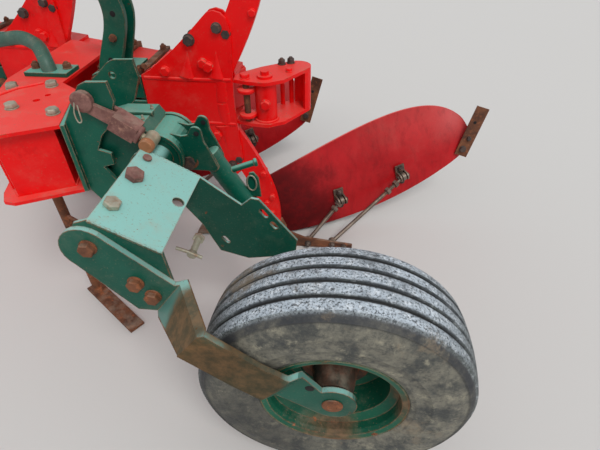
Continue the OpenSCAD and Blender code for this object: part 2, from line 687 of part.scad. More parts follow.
pin_out = 140;
module link_pins() {
  color(steel) at_turn() for (side = [0, 1]) mirror([0, side, 0])
    translate([head_x0 + 230, head_w - head_t - 12, link_z]) rotate([-90, 0, 0]) {
      cylinder(d = link_pin_d, h = pin_out + head_t + 12, $fn = 48);
      cylinder(d = link_pin_d + 4, h = head_t + 12, $fn = 48);
      translate([0, 0, head_t + 12]) cylinder(d = 48, h = 10);
      cylinder(d = 50, h = 12);
    }
}

mast_y = 42;
mast_z = link_z + mast_h;
mast_outline = concat([[0, 109.9], [120, 109.9]], arc([140, mast_z], 42, -30, 100, 10), [[0, mast_z - 20]]);
module mast() {
  color(red) at_turn() translate([head_x0, 0, 0]) difference() {
    union() {
      for (side = [-1, 1])
        side_plate(mast_outline, side > 0 ? mast_y : -mast_y - 16, side > 0 ? mast_y + 16 : -mast_y);
      translate([20, -mast_y, 200]) cube([16, 2 * mast_y, 120]);
    }
    translate([140, 0, mast_z]) rotate([90, 0, 0]) cylinder(d = top_bore_d, h = 400, center = true);
  }
}

// Turnover cylinder from the mast to the crank, its eye 6 mm ahead of the crank's pin
cyl_x = turn_x1 + 32;
cyl_top = [cyl_x, 106, mast_z - 52];
cyl_eye = [cyl_x, crank_pin[0], crank_pin[1]];
cyl_split = mix(cyl_top, cyl_eye, 0.62);
module turnover_cylinder() {
  color(red) at_turn() {
    bar_between(cyl_top, cyl_split, 56);
    translate([cyl_x, mast_y + 16, cyl_top[2]]) rotate([-90, 0, 0]) cylinder(d = 30, h = 96);
  }
}

module cylinder_rod() {
  color(steel) at_turn() {
    bar_between(cyl_split, cyl_eye, 30);
    translate([turn_x1 + 14, cyl_eye[1], cyl_eye[2]]) rotate([0, 90, 0]) cylinder(d = 48, h = 36);
  }
}

main_beam();
front_frame();
turnover_hub();
leg_bracket(0);  // bracket_rear
leg_bracket(1);  // bracket_middle
leg_bracket(2);  // bracket_front
end_yoke();
yoke_barrel();
legs_lower();
legs_upper();
frogs_lower();
frogs_upper();
mouldboard_lower(0);  // mouldboard_lower_rear
mouldboard_lower(1);  // mouldboard_lower_middle
mouldboard_lower(2);  // mouldboard_lower_front
mouldboard_upper(0);  // mouldboard_upper_rear
mouldboard_upper(1);  // mouldboard_upper_middle
mouldboard_upper(2);  // mouldboard_upper_front
shares_lower();
shares_upper();
points_lower();
points_upper();
landsides_lower();
landsides_upper();
tail_pieces();
stays_lower();
stays_upper();
skimmer_clamps();
skimmer_stems();
skimmers_lower();
skimmers_upper();
carrier_plates();
carrier_box();
stand_leg();
wheel_bracket();
pivot_housing();
depth_screw();
latch();
arm_channel();
arm_bar();
wheel_hub();
rim();
tyre();
turnover_shaft();
headstock_beam();
headstock_cheeks();
mast();
link_pins();
turnover_cylinder();
cylinder_rod();
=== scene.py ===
"""Moldboard plough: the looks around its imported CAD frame, in the row frame."""

import random
from math import atan2, cos, pi, radians, sin, sqrt, tau

import bmesh
import bpy
from mathutils import Matrix, Vector


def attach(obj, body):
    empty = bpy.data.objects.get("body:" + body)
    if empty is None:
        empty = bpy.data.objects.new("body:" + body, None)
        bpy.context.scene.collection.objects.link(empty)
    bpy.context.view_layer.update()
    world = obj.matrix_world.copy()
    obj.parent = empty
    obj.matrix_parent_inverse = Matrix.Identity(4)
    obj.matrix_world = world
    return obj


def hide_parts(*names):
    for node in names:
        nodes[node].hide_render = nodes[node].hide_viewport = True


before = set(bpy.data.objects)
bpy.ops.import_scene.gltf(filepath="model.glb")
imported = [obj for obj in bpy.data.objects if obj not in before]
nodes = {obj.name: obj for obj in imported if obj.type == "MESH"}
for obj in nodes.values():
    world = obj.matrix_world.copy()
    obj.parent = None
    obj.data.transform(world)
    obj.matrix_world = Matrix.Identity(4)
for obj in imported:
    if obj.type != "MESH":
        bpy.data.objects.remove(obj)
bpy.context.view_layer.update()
random.seed(7)

# The plough's own measures are millimetres from the ground under the wheel's hub, which stands at HUB
# in the row frame
HUB = Vector((-1280, 985, 0))
TYRE_R = 380
GROOVES = (22, 66)
BEAM_Z = 755
BEAM_Y = -174
BODIES = 3
PITCH = Vector((850, -320, 0))
PITCH_LENGTH = 908.2
LEG_0 = Vector((600, -910, BEAM_Z))
LINE_A = atan2(-PITCH.y, PITCH.x)
TURN = Vector((0, -1230, BEAM_Z))


def in_row(place):
    """A place in the plough's measures, in the row frame's metres."""
    return tuple((HUB + Vector(place)) / 1000)


# Materials. Colours are red, green and blue from 0 to 255

RUST_DARK = (82, 50, 36)
RUST_MID = (128, 80, 52)
RUST_BRIGHT = (170, 100, 60)
RUST_WORN = (158, 134, 112)
DUST = (170, 156, 136)
MUD = (140, 122, 98)
BEVEL_SAMPLES = 4


def linear(colour):
    return (*(((c / 255 + 0.055) / 1.055) ** 2.4 for c in colour), 1.0)


class Shader:
    """One node material, built from a few noises laid over each other."""

    def __init__(self, name):
        self.material = bpy.data.materials.new(name)
        self.material.use_nodes = True
        self.tree = self.material.node_tree
        self.surface = self.tree.nodes["Principled BSDF"]
        self.place = self.node("TexCoord").outputs["Object"]

    def feed(self, socket, value):
        """Links a socket to another, or sets its value."""
        if isinstance(value, bpy.types.NodeSocket):
            self.tree.links.new(value, socket)
        else:
            socket.default_value = value

    def node(self, kind, inputs=None, **settings):
        made = self.tree.nodes.new("ShaderNode" + kind)
        for key, value in settings.items():
            setattr(made, key, value)
        for key, value in (inputs or {}).items():
            self.feed(made.inputs[key], value)
        return made

    def set(self, **values):
        """Sets the surface's sockets, named with underscores for spaces."""
        for key, value in values.items():
            self.feed(self.surface.inputs[key.replace("_", " ")], value)

    def stretched(self, x, y, z):
        return self.node("Mapping", {"Vector": self.place, "Scale": (x, y, z)}).outputs[0]

    def noise(self, scale, detail=5, roughness=0.6, at=None):
        inputs = {"Vector": at or self.place, "Scale": scale, "Detail": detail, "Roughness": roughness}
        return self.node("TexNoise", inputs).outputs["Fac"]

    def band(self, value, low, high):
        """0 at low, 1 at high, and smooth between them."""
        inputs = {"Value": value, "From Min": low, "From Max": high}
        return self.node("MapRange", inputs, interpolation_type="SMOOTHSTEP").outputs[0]

    def cloud(self, low, high, *grain):
        """Patches where a noise rises from low to high."""
        return self.band(self.noise(*grain), low, high)

    def math(self, operation, a, b=0, clamp=True):
        return self.node("Math", {0: a, 1: b}, operation=operation, use_clamp=clamp).outputs[0]

    def times(self, a, b):
        return self.math("MULTIPLY", a, b)

    def vector(self, operation, a, b=(0, 0, 0)):
        """A vector, or one number where the operation gives one."""
        made = self.node("VectorMath", {0: a, 1: b}, operation=operation)
        return made.outputs["Value" if operation in ("DISTANCE", "LENGTH", "DOT_PRODUCT") else "Vector"]

    def mix(self, factor, a, b):
        """Between two colours."""
        made = self.node("Mix", {"Factor": factor}, data_type="RGBA")
        for socket, value in zip([s for s in made.inputs if s.type == "RGBA"], (a, b)):
            self.feed(socket, linear(value) if isinstance(value, tuple) else value)
        return [s for s in made.outputs if s.type == "RGBA"][0]

    def blend(self, factor, a, b):
        """Between two numbers."""
        return self.node("Mix", {"Factor": factor, "A": a, "B": b}).outputs["Result"]

    def axis(self, letter, at):
        return self.node("SeparateXYZ", {0: at}).outputs[letter]

    def near(self, centre, inner, outer):
        """1 within inner metres of a place in the plough's measures, 0 beyond outer."""
        return self.band(self.vector("DISTANCE", self.place, in_row(centre)), outer, inner)

    def softened(self, radius):
        """The surface's normal, rounded at edges."""
        return self.node("Bevel", {"Radius": radius}, samples=BEVEL_SAMPLES).outputs[0]

    def edges(self, reach):
        """1 on convex or concave edges and 0 on flat faces."""
        flat = self.node("NewGeometry").outputs["True Normal"]
        return self.math("SUBTRACT", 1, self.vector("DOT_PRODUCT", self.softened(reach), flat))

    def upward(self):
        """1 on faces that look up and 0 on those that look down or sideways."""
        normal = self.node("NewGeometry").outputs["Normal"]
        return self.band(self.axis("Z", normal), 0.35, 0.95)

    def bump(self, height, distance, strength=1, soften=0.0015):
        normal = self.softened(soften)
        inputs = {"Height": height, "Distance": distance, "Strength": strength, "Normal": normal}
        self.set(Normal=self.node("Bump", inputs).outputs[0])


def paint(name, colours, wear, dirt, gloss, sheen=0.25, sky_light=None, zones=(), streaks=0):
    """Weathered gloss paint: cloudy colour, dust, and chips down to rust along edges; a painted sky
    reflection on faces that look up; zones of rust and dirt film, and zones of painted shade on the
    mouldboards.
    """
    s = Shader(name)
    colour, faded, shade = colours
    base = s.mix(s.cloud(0.36, 0.66, 2.3, 4), colour, faded)
    base = s.mix(s.times(s.cloud(0.52, 0.78, 11, 8, 0.7), 0.6), base, shade)
    up = s.upward()
    # Faces that look up are mixed towards the sky colour: a painted sky reflection.
    if sky_light:
        base = s.mix(s.times(up, 0.8), base, sky_light)
    if streaks:
        lines = s.band(s.noise(1, 6, 0.7, s.stretched(26, 26, 1.6)), 0.46, 0.72)
        base = s.mix(s.times(lines, streaks), base, shade)
    grime = s.times(s.cloud(0.48, 0.76, 8, 10, 0.74), s.blend(up, dirt * 0.35, dirt * 1.3))
    base = s.mix(grime, base, DUST)
    specks = s.cloud(0.62, 0.68, 150, 3)
    base = s.mix(s.times(specks, s.blend(up, dirt * 0.6, dirt * 1.8)), base, MUD)
    edge = s.band(s.edges(0.006), 0.03, 0.2)
    rust = s.mix(s.cloud(0.38, 0.62, 55, 6, 0.7), RUST_DARK, RUST_BRIGHT)
    rust = s.mix(s.times(edge, s.cloud(0.42, 0.6, 24, 6)), rust, RUST_WORN)
    chip = 0.61 - 0.13 * wear
    chips = s.band(s.noise(42, 9, 0.75), chip, chip + 0.04)
    spot = 0.74 - 0.05 * wear
    spots = s.band(s.noise(19, 12, 0.72), spot, spot + 0.015)
    bare = s.math("MAXIMUM", s.times(edge, chips), spots)
    base = s.mix(bare, base, rust)
    # Zones of rust and dirt film on the arm and rim, and zones of painted shade on the mouldboards.
    for centre, inner, outer, zone_strength, zone_colours in zones:
        pull = s.times(s.near(centre, inner, outer), zone_strength)
        patch = s.band(s.math("ADD", pull, s.times(s.noise(7, 8, 0.7), 0.6)), 0.52, 0.82)
        base = s.mix(s.times(patch, 0.92), base, s.mix(s.cloud(0.35, 0.7, 28, 8, 0.7), *zone_colours))
        bare = s.math("MAXIMUM", bare, s.times(patch, 0.8))
    s.set(Base_Color=base, Specular_IOR_Level=sheen)
    rough = s.blend(s.math("MAXIMUM", grime, bare), gloss, 0.78)
    s.set(Roughness=s.math("ADD", rough, s.times(s.noise(45), 0.1)))
    grain = s.times(s.noise(120, 4), 0.5)
    s.bump(s.math("SUBTRACT", grain, s.times(bare, 0.7)), 0.0005)
    return s.material


def steel(name, dark, mid, bright, metal=0.25, rough=0.8, scale=1, streaks=0):
    """Rusted steel with darker pits and brighter bloom, lighter along its edges."""
    s = Shader(name)
    base = s.mix(s.cloud(0.36, 0.64, 9 * scale, 8, 0.7), dark, mid)
    base = s.mix(s.cloud(0.50, 0.72, 30 * scale, 10, 0.72), base, bright)
    if streaks:
        lines = s.band(s.noise(1, 5, 0.6, s.stretched(3, 3, 60)), 0.5, 0.7)
        base = s.mix(s.times(lines, streaks), base, DUST)
    settled = s.times(s.cloud(0.4, 0.7, 22, 8), 0.4)
    base = s.mix(s.times(s.upward(), settled), base, DUST)
    edge = s.times(s.band(s.edges(0.004), 0.03, 0.25), s.cloud(0.4, 0.6, 35, 6))
    base = s.mix(s.times(edge, 0.6), base, bright)
    s.set(Base_Color=base, Metallic=metal, Roughness=s.blend(s.noise(50), rough - 0.15, rough + 0.1))
    s.bump(s.noise(230 * scale, 5, 0.7), 0.0009)
    return s.material


def tyre_rubber(name):
    """Weathered rubber: pale scuffed ribs with a painted sky reflection where they look up, black by the
    grooves and the shoulder and deepened there as painted shade, mud on the walls, and a patch of painted
    shade low on the wall.
    """
    s = Shader(name)
    away = s.vector("SUBTRACT", s.place, in_row((0, 0, TYRE_R)))
    radius = s.vector("LENGTH", s.vector("MULTIPLY", away, (1, 0, 1)))
    fine = s.noise(170, 9, 0.8)
    grain = s.noise(55, 9, 0.8)
    wall = s.mix(s.cloud(0.38, 0.60, 9, 10, 0.76), (60, 62, 60), (122, 118, 104))
    wall = s.mix(s.cloud(0.52, 0.68, 26, 10, 0.76), wall, (152, 146, 126))
    wall = s.mix(s.times(s.band(grain, 0.48, 0.62), 0.6), wall, (56, 58, 58))
    up = s.upward()
    # Ribs that look up are paler and bluer, and their pale scuffs stronger: a painted sky reflection.
    tread = s.mix(up, (92, 97, 94), (182, 192, 200))
    tread = s.mix(s.times(s.cloud(0.44, 0.66, 8, 9, 0.75), 0.8), tread, (92, 97, 98))
    tread = s.mix(s.times(s.band(grain, 0.50, 0.60), s.blend(up, 0.3, 0.9)), tread, (214, 220, 224))
    tread = s.mix(s.band(fine, 0.49, 0.58), tread, (50, 54, 56))
    side = s.math("ABSOLUTE", s.axis("Y", away), clamp=False)
    # The grooves' edges are darkened: the rubber's own black, deepened as painted shade.
    dark = deep = 0
    for groove in GROOVES:
        off = s.math("ABSOLUTE", s.math("SUBTRACT", side, groove / 1000, clamp=False), clamp=False)
        dark = s.math("MAXIMUM", dark, s.times(s.band(off, 0.0115, 0.0060), 0.75))
        deep = s.math("MAXIMUM", deep, s.band(off, 0.0062, 0.0045))
    uneven = s.cloud(0.34, 0.60, 14, 8, 0.75)
    tread = s.mix(s.times(dark, uneven), tread, (46, 50, 56))
    base = s.mix(s.band(radius, 0.3585, 0.3655), wall, tread)
    # A dark band under the shoulder: black rubber, deepened as painted shade under the step.
    lip = s.times(s.band(radius, 0.338, 0.352), s.band(radius, 0.3665, 0.3605))
    base = s.mix(s.times(lip, s.blend(uneven, 0.5, 0.95)), base, (40, 42, 46))
    base = s.mix(s.times(s.cloud(0.55, 0.66, 4, 12, 0.76), 0.6), base, MUD)
    base = s.mix(s.times(s.near(TYRE_SHADE, 0.10, 0.42), 0.6), base, (44, 44, 42))
    # Painted shade on the groove floors.
    floors = s.band(radius, 0.3755, 0.371)
    base = s.mix(s.times(deep, floors), base, (38, 38, 38))
    s.set(Base_Color=base, Roughness=s.blend(s.noise(40), 0.48, 0.8))
    s.bump(s.math("ADD", s.times(fine, 0.6), s.times(s.noise(34, 6), 0.4)), 0.0022, 0.9, 0.0016)
    return s.material


# Zones are a centre, the reach where they are full, the reach where they end, their strength, and two colours
BROWN_FILM = ((80, 62, 36), (124, 88, 54))
# Colours of the painted shade on the mouldboards.
PAINTED_SHADE_COLOURS = ((70, 0, 4), (102, 2, 8))
DULL_FILM = ((64, 54, 34), (104, 78, 50))
RUST_FILM = ((96, 52, 36), (140, 104, 76))
TYRE_SHADE = (270, 110, 200)
ARM_RUST = [((335, 80, 590), 0.03, 0.21, 0.82, BROWN_FILM), ((250, 125, 520), 0.06, 0.19, 0.82, DULL_FILM)]
RIM_RUST = [((0, y, z), 0.02, 0.20, 0.42, RUST_FILM) for y, z in ((116, 195), (116, 470), (-116, TYRE_R))]
RIM_RUST.append(((-170, 110, 400), 0.02, 0.16, 0.45, RUST_FILM))
# Painted shade on each mouldboard, near its share's edge.
BOARD_SHADE = [(LEG_0 + k * PITCH + Vector((-260, -120, z)), 0.10, 0.62, 0.60, PAINTED_SHADE_COLOURS)
               for k in range(BODIES) for z in (-640, 640)]
# Each paint's sky colour is a painted sky reflection on faces that look up.
PAINTS = {
    "red_paint": dict(colours=((232, 2, 6), (236, 14, 14), (186, 0, 4)), wear=0.5, dirt=0.3,
                      gloss=0.36, sheen=0.22, sky_light=(238, 74, 66)),
    "board_paint": dict(colours=((160, 6, 14), (186, 24, 30), (104, 2, 8)), wear=0.6, dirt=0.1,
                        gloss=0.34, sheen=0.22, sky_light=(232, 96, 90), zones=BOARD_SHADE, streaks=0.35),
    "rim_paint": dict(colours=((14, 78, 58), (24, 94, 70), (8, 58, 44)), wear=2.2, dirt=0.5,
                      gloss=0.4, zones=RIM_RUST),
    "dull_green": dict(colours=((50, 84, 70), (70, 102, 88), (36, 62, 52)), wear=1, dirt=0.5,
                       gloss=0.4, sheen=0.35),
    "green_paint": dict(colours=((4, 72, 56), (12, 92, 72), (2, 52, 40)), wear=1.5, dirt=0.3,
                        gloss=0.32, sky_light=(112, 176, 158)),
    "arm_paint": dict(colours=((4, 70, 54), (16, 90, 72), (0, 50, 38)), wear=1.8, dirt=0.36,
                      gloss=0.34, sky_light=(158, 212, 202), zones=ARM_RUST),
}
STEELS = {
    "rusted_steel": (RUST_DARK, RUST_MID, RUST_BRIGHT),
    "pink_rust": ((104, 66, 60), (150, 106, 96), (178, 132, 112), 0.15, 0.8),
    "soil_steel": ((120, 92, 72), (150, 134, 118), (150, 96, 62), 0.55, 0.5, 0.6, 0.5),
    "worn_steel": ((92, 78, 68), (130, 116, 104), (150, 112, 84), 0.6, 0.5),
    "greasy_steel": ((150, 144, 120), (186, 180, 156), (196, 176, 140), 0.4, 0.4),
    "hub_rust": ((40, 44, 34), (92, 58, 42), (134, 84, 60), 0.1, 0.8),
    "dark_bolt": ((52, 46, 46), (84, 70, 64), (120, 88, 70), 0.4, 0.6),
    "pale_bolt": ((150, 146, 128), (184, 180, 160), (150, 110, 80), 0.45, 0.5),
    "orange_rust": ((150, 96, 60), (196, 126, 84), (214, 150, 104), 0.1, 0.7),
    # A near-black finish: painted shade for the inside of bores.
    "bore_shade": ((14, 12, 12), (22, 20, 20), (30, 26, 24), 0, 0.9),
}
MAT = {name: paint(name, **look) for name, look in PAINTS.items()}
MAT.update({name: steel(name, *look) for name, look in STEELS.items()})
MAT["tyre_rubber"] = tyre_rubber("tyre_rubber")

# Each CAD node's finish, by its name or its name's first word, and otherwise red paint
FINISHES = {
    "board_paint": "mouldboard", "soil_steel": "shares points", "pink_rust": "depth", "arm_paint": "arm",
    "rusted_steel": "landsides frogs tail skimmers stand", "hub_rust": "wheel_hub", "rim_paint": "rim",
    "worn_steel": "stays link cylinder turnover_shaft", "tyre_rubber": "tyre",
    "green_paint": "skimmer pivot latch wheel_bracket",
}
LOOKS = {word: look for look, words in FINISHES.items() for word in words.split()}
for node, made in nodes.items():
    look = LOOKS.get(node, LOOKS.get(node.split("_")[0], "red_paint"))
    made.data.materials.clear()
    made.data.materials.append(MAT[look])

# Shapes, as (corners, faces) in millimetres along their own Z, and the ways that they face
NEAR = (0, 1, 0)
FAR = (0, -1, 0)
UP = (0, 0, 1)
DOWN = (0, 0, -1)


def lathe(profile, sides=24):
    """A turned solid from radii and heights, closed where the radius is 0."""
    corners, faces, rings = [], [], []
    for radius, height in profile:
        count = sides if radius > 1e-6 else 1
        rings.append(range(len(corners), len(corners) + count))
        angles = [tau * k / sides for k in range(count)]
        corners += [(radius * cos(a), radius * sin(a), height) for a in angles]
    for low, high in zip(rings, rings[1:]):
        for k in range(sides):
            a, b = k % len(low), (k + 1) % len(low)
            c, d = (k + 1) % len(high), k % len(high)
            face = list(dict.fromkeys((low[a], low[b], high[c], high[d])))
            if len(face) > 2:
                faces.append(face)
    return corners, faces


def turned(profile, sides=24):
    """A turned solid closed flat at both ends."""
    return lathe([(0, profile[0][1])] + profile + [(0, profile[-1][1])], sides)


def prism(outline, low, high):
    """An outline of X and Y drawn out from one height to another."""
    count = len(outline)
    corners = [(x, y, low) for x, y in outline] + [(x, y, high) for x, y in outline]
    sides = [(k, (k + 1) % count, (k + 1) % count + count, k + count) for k in range(count)]
    return corners, [list(range(count))[::-1], list(range(count, 2 * count))] + sides


def block(x, y, z, centre=(0, 0, 0)):
    """A block, centred in X and Y and standing on its centre's Z."""
    left, right, back, front = centre[0] - x / 2, centre[0] + x / 2, centre[1] - y / 2, centre[1] + y / 2
    return prism([(left, back), (right, back), (right, front), (left, front)], centre[2], centre[2] + z)


def side_plate(outline, y_low, y_high):
    """An outline of X and Z between two places in Y."""
    corners, faces = prism(outline, y_low, y_high)
    return [(x, y, z) for x, z, y in corners], faces


def flattened(shape, share, shift):
    """A shape with its Y drawn in to a share of itself, and shifted."""
    return [(x, y * share + shift, z) for x, y, z in shape[0]], shape[1]


def tube(points, radius, sides=12):
    """A round bar along points. The radius is a number or one for each point."""
    points = [Vector(p) for p in points]
    corners, faces = [], []
    across = None
    for k, p in enumerate(points):
        way = (points[min(k + 1, len(points) - 1)] - points[max(k - 1, 0)]).normalized()
        if across is None:
            across = way.orthogonal().normalized()
        across = (across - way * across.dot(way)).normalized()
        aside = way.cross(across)
        r = radius[k] if isinstance(radius, list) else radius
        corners += [p + (across * cos(tau * j / sides) + aside * sin(tau * j / sides)) * r
                    for j in range(sides)]
    for k in range(len(points) - 1):
        for j in range(sides):
            a, b = k * sides + j, k * sides + (j + 1) % sides
            faces.append((a, b, b + sides, a + sides))
    faces.append(list(range(sides))[::-1])
    faces.append(list(range(len(corners) - sides, len(corners))))
    return [tuple(c) for c in corners], faces


def curve(points, steps=8):
    """A smooth path through points."""
    points = [Vector(p) for p in points]
    padded = [2 * points[0] - points[1]] + points + [2 * points[-1] - points[-2]]
    path = []
    for k in range(len(points) - 1):
        a, b, c, d = padded[k:k + 4]
        for j in range(steps):
            t = j / steps
            path.append(0.5 * (2 * b + (c - a) * t + (2 * a - 5 * b + 4 * c - d) * t * t
                               + (3 * b - a - 3 * c + d) * t ** 3))
    return path + [points[-1]]


def arc(centre, radius, start, end, steps=10):
    """Points from one angle in degrees to another."""
    angles = [radians(start + (end - start) * k / steps) for k in range(steps + 1)]
    return [(centre[0] + radius * cos(a), centre[1] + radius * sin(a)) for a in angles]


def ring(centre, radius, plane="XZ", fineness=6):
    """A circle in a plane through its centre, fineness points to the radian, ending just past its start."""
    across, up = ("XYZ".index(letter) for letter in plane)
    path = []
    for k in range(int(tau * fineness) + 2):
        point = list(centre)
        point[across] += radius * cos(k / fineness)
        point[up] += radius * sin(k / fineness)
        path.append(point)
    return path


def facing(place, axis=NEAR):
    """Stands a shape at a place with its Z along an axis."""
    return Matrix.Translation(place) @ Vector(axis).to_track_quat("Z", "Y").to_matrix().to_4x4()


def at(x, y, z):
    return Matrix.Translation((x, y, z))


def spun(angle, letter="Z"):
    return Matrix.Rotation(angle, 4, letter)


def at_leg(i, upper=False):
    """Leg i where it crosses the beam's level, mirrored in that level for the upper set."""
    return Matrix.Translation(LEG_0 + i * PITCH) @ Matrix.Diagonal((1, 1, -1 if upper else 1, 1))


def legs():
    """Every leg, as its number, whether it is an upper one, and its place."""
    for i in range(BODIES):
        for upper in (False, True):
            yield i, upper, at_leg(i, upper)


def linked(name, data):
    """A new object in the scene."""
    made = bpy.data.objects.new(name, data)
    bpy.context.scene.collection.objects.link(made)
    return made


class Pile:
    """Shapes of one finish on one body, gathered into one piece."""

    made = []

    def __init__(self, name, look, slot=None, body="frame", stands_for=None, smooth=38, bevel=0.0):
        self.name, self.look, self.slot, self.body = name, look, slot or look, body
        self.stands_for, self.smooth, self.bevel = stands_for, smooth, bevel
        self.corners, self.faces, self.fronts, self.front_look = [], [], (), None
        Pile.made.append(self)

    def add(self, shape, place=Matrix.Identity(4)):
        start = len(self.corners)
        self.corners += [place @ Vector(c) for c in shape[0]]
        self.faces += [[start + k for k in face] for face in shape[1]]

    def solid(self):
        """The shapes as one object."""
        mesh = bpy.data.meshes.new(self.name)
        mesh.from_pydata([in_row(c) for c in self.corners], [], self.faces)
        for k in self.fronts:
            mesh.polygons[k].material_index = 1
        work = bmesh.new()
        work.from_mesh(mesh)
        bmesh.ops.remove_doubles(work, verts=work.verts, dist=1e-6)
        bmesh.ops.recalc_face_normals(work, faces=work.faces)
        work.to_mesh(mesh)
        work.free()
        mesh.shade_smooth()
        mesh.set_sharp_from_angle(angle=radians(self.smooth))
        mesh.materials.append(MAT[self.look])
        if self.front_look:
            mesh.materials.append(MAT[self.front_look])
        return linked(self.name, mesh)

    def build(self):
        """Makes the piece, parents it to its body's empty, and hides the CAD parts that it stands for."""
        piece = self.solid()
        if self.bevel:
            bevel = piece.modifiers.new("bevel", "BEVEL")
            bevel.width = self.bevel / 1000
            bevel.segments = 2
            bevel.angle_limit = radians(40)
        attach(piece, self.body)
        if self.stands_for:
            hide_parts(self.stands_for)


def bored(node, name, body, look, cutters):
    """A CAD node's copy with bores cut through it, in the node's stead."""
    cut = Pile(name + "_cutter", look)
    Pile.made.remove(cut)
    for shape, place in cutters:
        cut.add(shape, place)
    cutter = cut.solid()
    piece = linked(name, nodes[node].data.copy())
    bore = piece.modifiers.new("bores", "BOOLEAN")
    bore.object = cutter
    bpy.context.view_layer.update()
    ready = bpy.data.meshes.new_from_object(piece.evaluated_get(bpy.context.evaluated_depsgraph_get()))
    piece.modifiers.clear()
    piece.data = ready
    ready.materials.clear()
    ready.materials.append(MAT[look])
    bpy.data.objects.remove(cutter)
    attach(piece, body)
    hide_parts(node)


# Fasteners and welds. A bolt's washer, heights and stud are shares of its width across flats
WELD_STEP = 5
WASHER_R = 0.62
HEAD_H = 0.42
NUT_H = 0.53
STUD_R = 0.32


def bolt(pile, place, across=36, nut=False, washer=True):
    """A hexagon head, or a nut with its stud's end, on a washer."""
    place = place @ spun(random.uniform(0, 1.05))
    low = 0
    if washer:
        r = across * WASHER_R
        pile.add(turned([(r, 0), (r, 3), (r - 1.5, 4)], 28), place)
        low = 4
    r = across / sqrt(3)
    top = low + across * (NUT_H if nut else HEAD_H)
    pile.add(turned([(0.9 * r, low), (r, low + 1.5), (r, top - 3), (0.87 * r, top)], 6), place)
    if nut:
        r = across * STUD_R
        thread = [(r - (k % 2) * 1.2, top + k * 1.5) for k in range(4)]
        pile.add(lathe([(0, top - 1)] + thread + [(r - 2, top + 6.5), (0, top + 6.5)], 14), place)


def weld(pile, points, radius=5.0, place=Matrix.Identity(4)):
    """A rippled bead along straight runs between points, thinner at its ends."""
    path, sizes = [], []
    points = [place @ Vector(p) for p in points]
    for a, b in zip(points, points[1:]):
        count = max(2, int((b - a).length / WELD_STEP))
        for k in range(count):
            path.append(a.lerp(b, k / count))
            sizes.append(radius * (1 + 0.16 * sin(2.4 * len(sizes)) + random.uniform(-0.1, 0.1)))
    path.append(points[-1])
    sizes.append(radius * 0.7)
    sizes[0] = radius * 0.7
    pile.add(tube(path, sizes, 8))


def bore_shade(pile, place, radius):
    """A near-black disc, half a millimetre proud, as painted shade inside a bore."""
    pile.add(lathe([(0, 0.5), (radius, 0.5), (radius + 0.8, 0.1)], 20), place)


RED_BOLTS = Pile("frame_bolts_red", "red_paint")
DARK_BOLTS = Pile("frame_bolts_dark", "dark_bolt", "rusted_steel")
PALE_BOLTS = Pile("frame_bolts_pale", "pale_bolt", "worn_steel")
RUST_BITS = Pile("frame_rusty_bits", "rusted_steel")
GREEN_BITS = Pile("frame_green_bits", "green_paint", bevel=1.2)
RED_WELDS = Pile("frame_welds_red", "red_paint", smooth=70)
RED_FORMS = Pile("bracket_ribs", "red_paint", smooth=70)
GREEN_WELDS = Pile("frame_welds_green", "green_paint", smooth=70)
# Near-black discs as painted shade inside the frame's bores.
BORE_SHADES = Pile("frame_bore_shades", "bore_shade", "rusted_steel")

# Leg brackets and legs: each bolt's X and Z from its leg's place, its width and its pile
BRACKET_BOLTS = [(6, 242, 36, DARK_BOLTS), (-104, 286, 32, DARK_BOLTS), (-35, 158, 32, RED_BOLTS),
                 (120, 123, 32, RED_BOLTS)]
LEG_BOLTS = [(-54, -145, 34, RED_BOLTS), (-134, -263, 30, DARK_BOLTS), (-236, -336, 24, RED_BOLTS),
             (-272, -460, 24, RED_BOLTS), (-266, -556, 24, RED_BOLTS), (-244, -500, 24, RED_BOLTS)]
RIB_PATHS = [[(20, 200), (28, 150), (38, 101)], [(-90, 206), (-86, 150), (-80, 101)]]
RIB_TIP = 3
RIB_FLARE = 29
LEG_Y = -12
LEG_FAR_Y = -40
BRACKET_FAR_Y = -52
BRACKET_FOOT = -200

for _, _, leg in legs():
    for x, z, size, pile in BRACKET_BOLTS:
        bolt(pile, leg @ facing((x, 0, z)), size)
        bolt(pile, leg @ facing((x, BRACKET_FAR_Y, z), FAR), size, nut=True)
    for x, z, size, pile in LEG_BOLTS:
        near_y = 0 if z > BRACKET_FOOT else LEG_Y
        bolt(pile, leg @ facing((x, near_y, z)), size)
        bolt(pile, leg @ facing((x, LEG_FAR_Y, z), FAR), size, nut=True)
    for rib in RIB_PATHS:
        path = curve([(x, 0, z) for x, z in rib], 10)
        wide = [RIB_TIP + RIB_FLARE * (k / len(path)) ** 1.5 for k in range(len(path))]
        RED_FORMS.add(flattened(tube(path, wide, 24), 0.45, -1), leg)
    RED_FORMS.add(tube(curve([(-136, -5, 94), (-60, -4, 92), (60, -4, 92), (214, -5, 94)], 6), 9, 14), leg)
    RED_FORMS.add(flattened(tube([(-96, 0, 88), (-92, 0, 30), (-90, 0, 4)], [20, 24, 22], 24), 0.3, -2), leg)
    weld(RED_WELDS, [(214, -54, 95), (100, -54, 95)], place=leg)
    weld(RED_WELDS, [(-140, -14, 80), (-140, -60, 80)], place=leg)
    weld(RED_WELDS, [(222, -14, 92), (222, -150, 92)], place=leg)

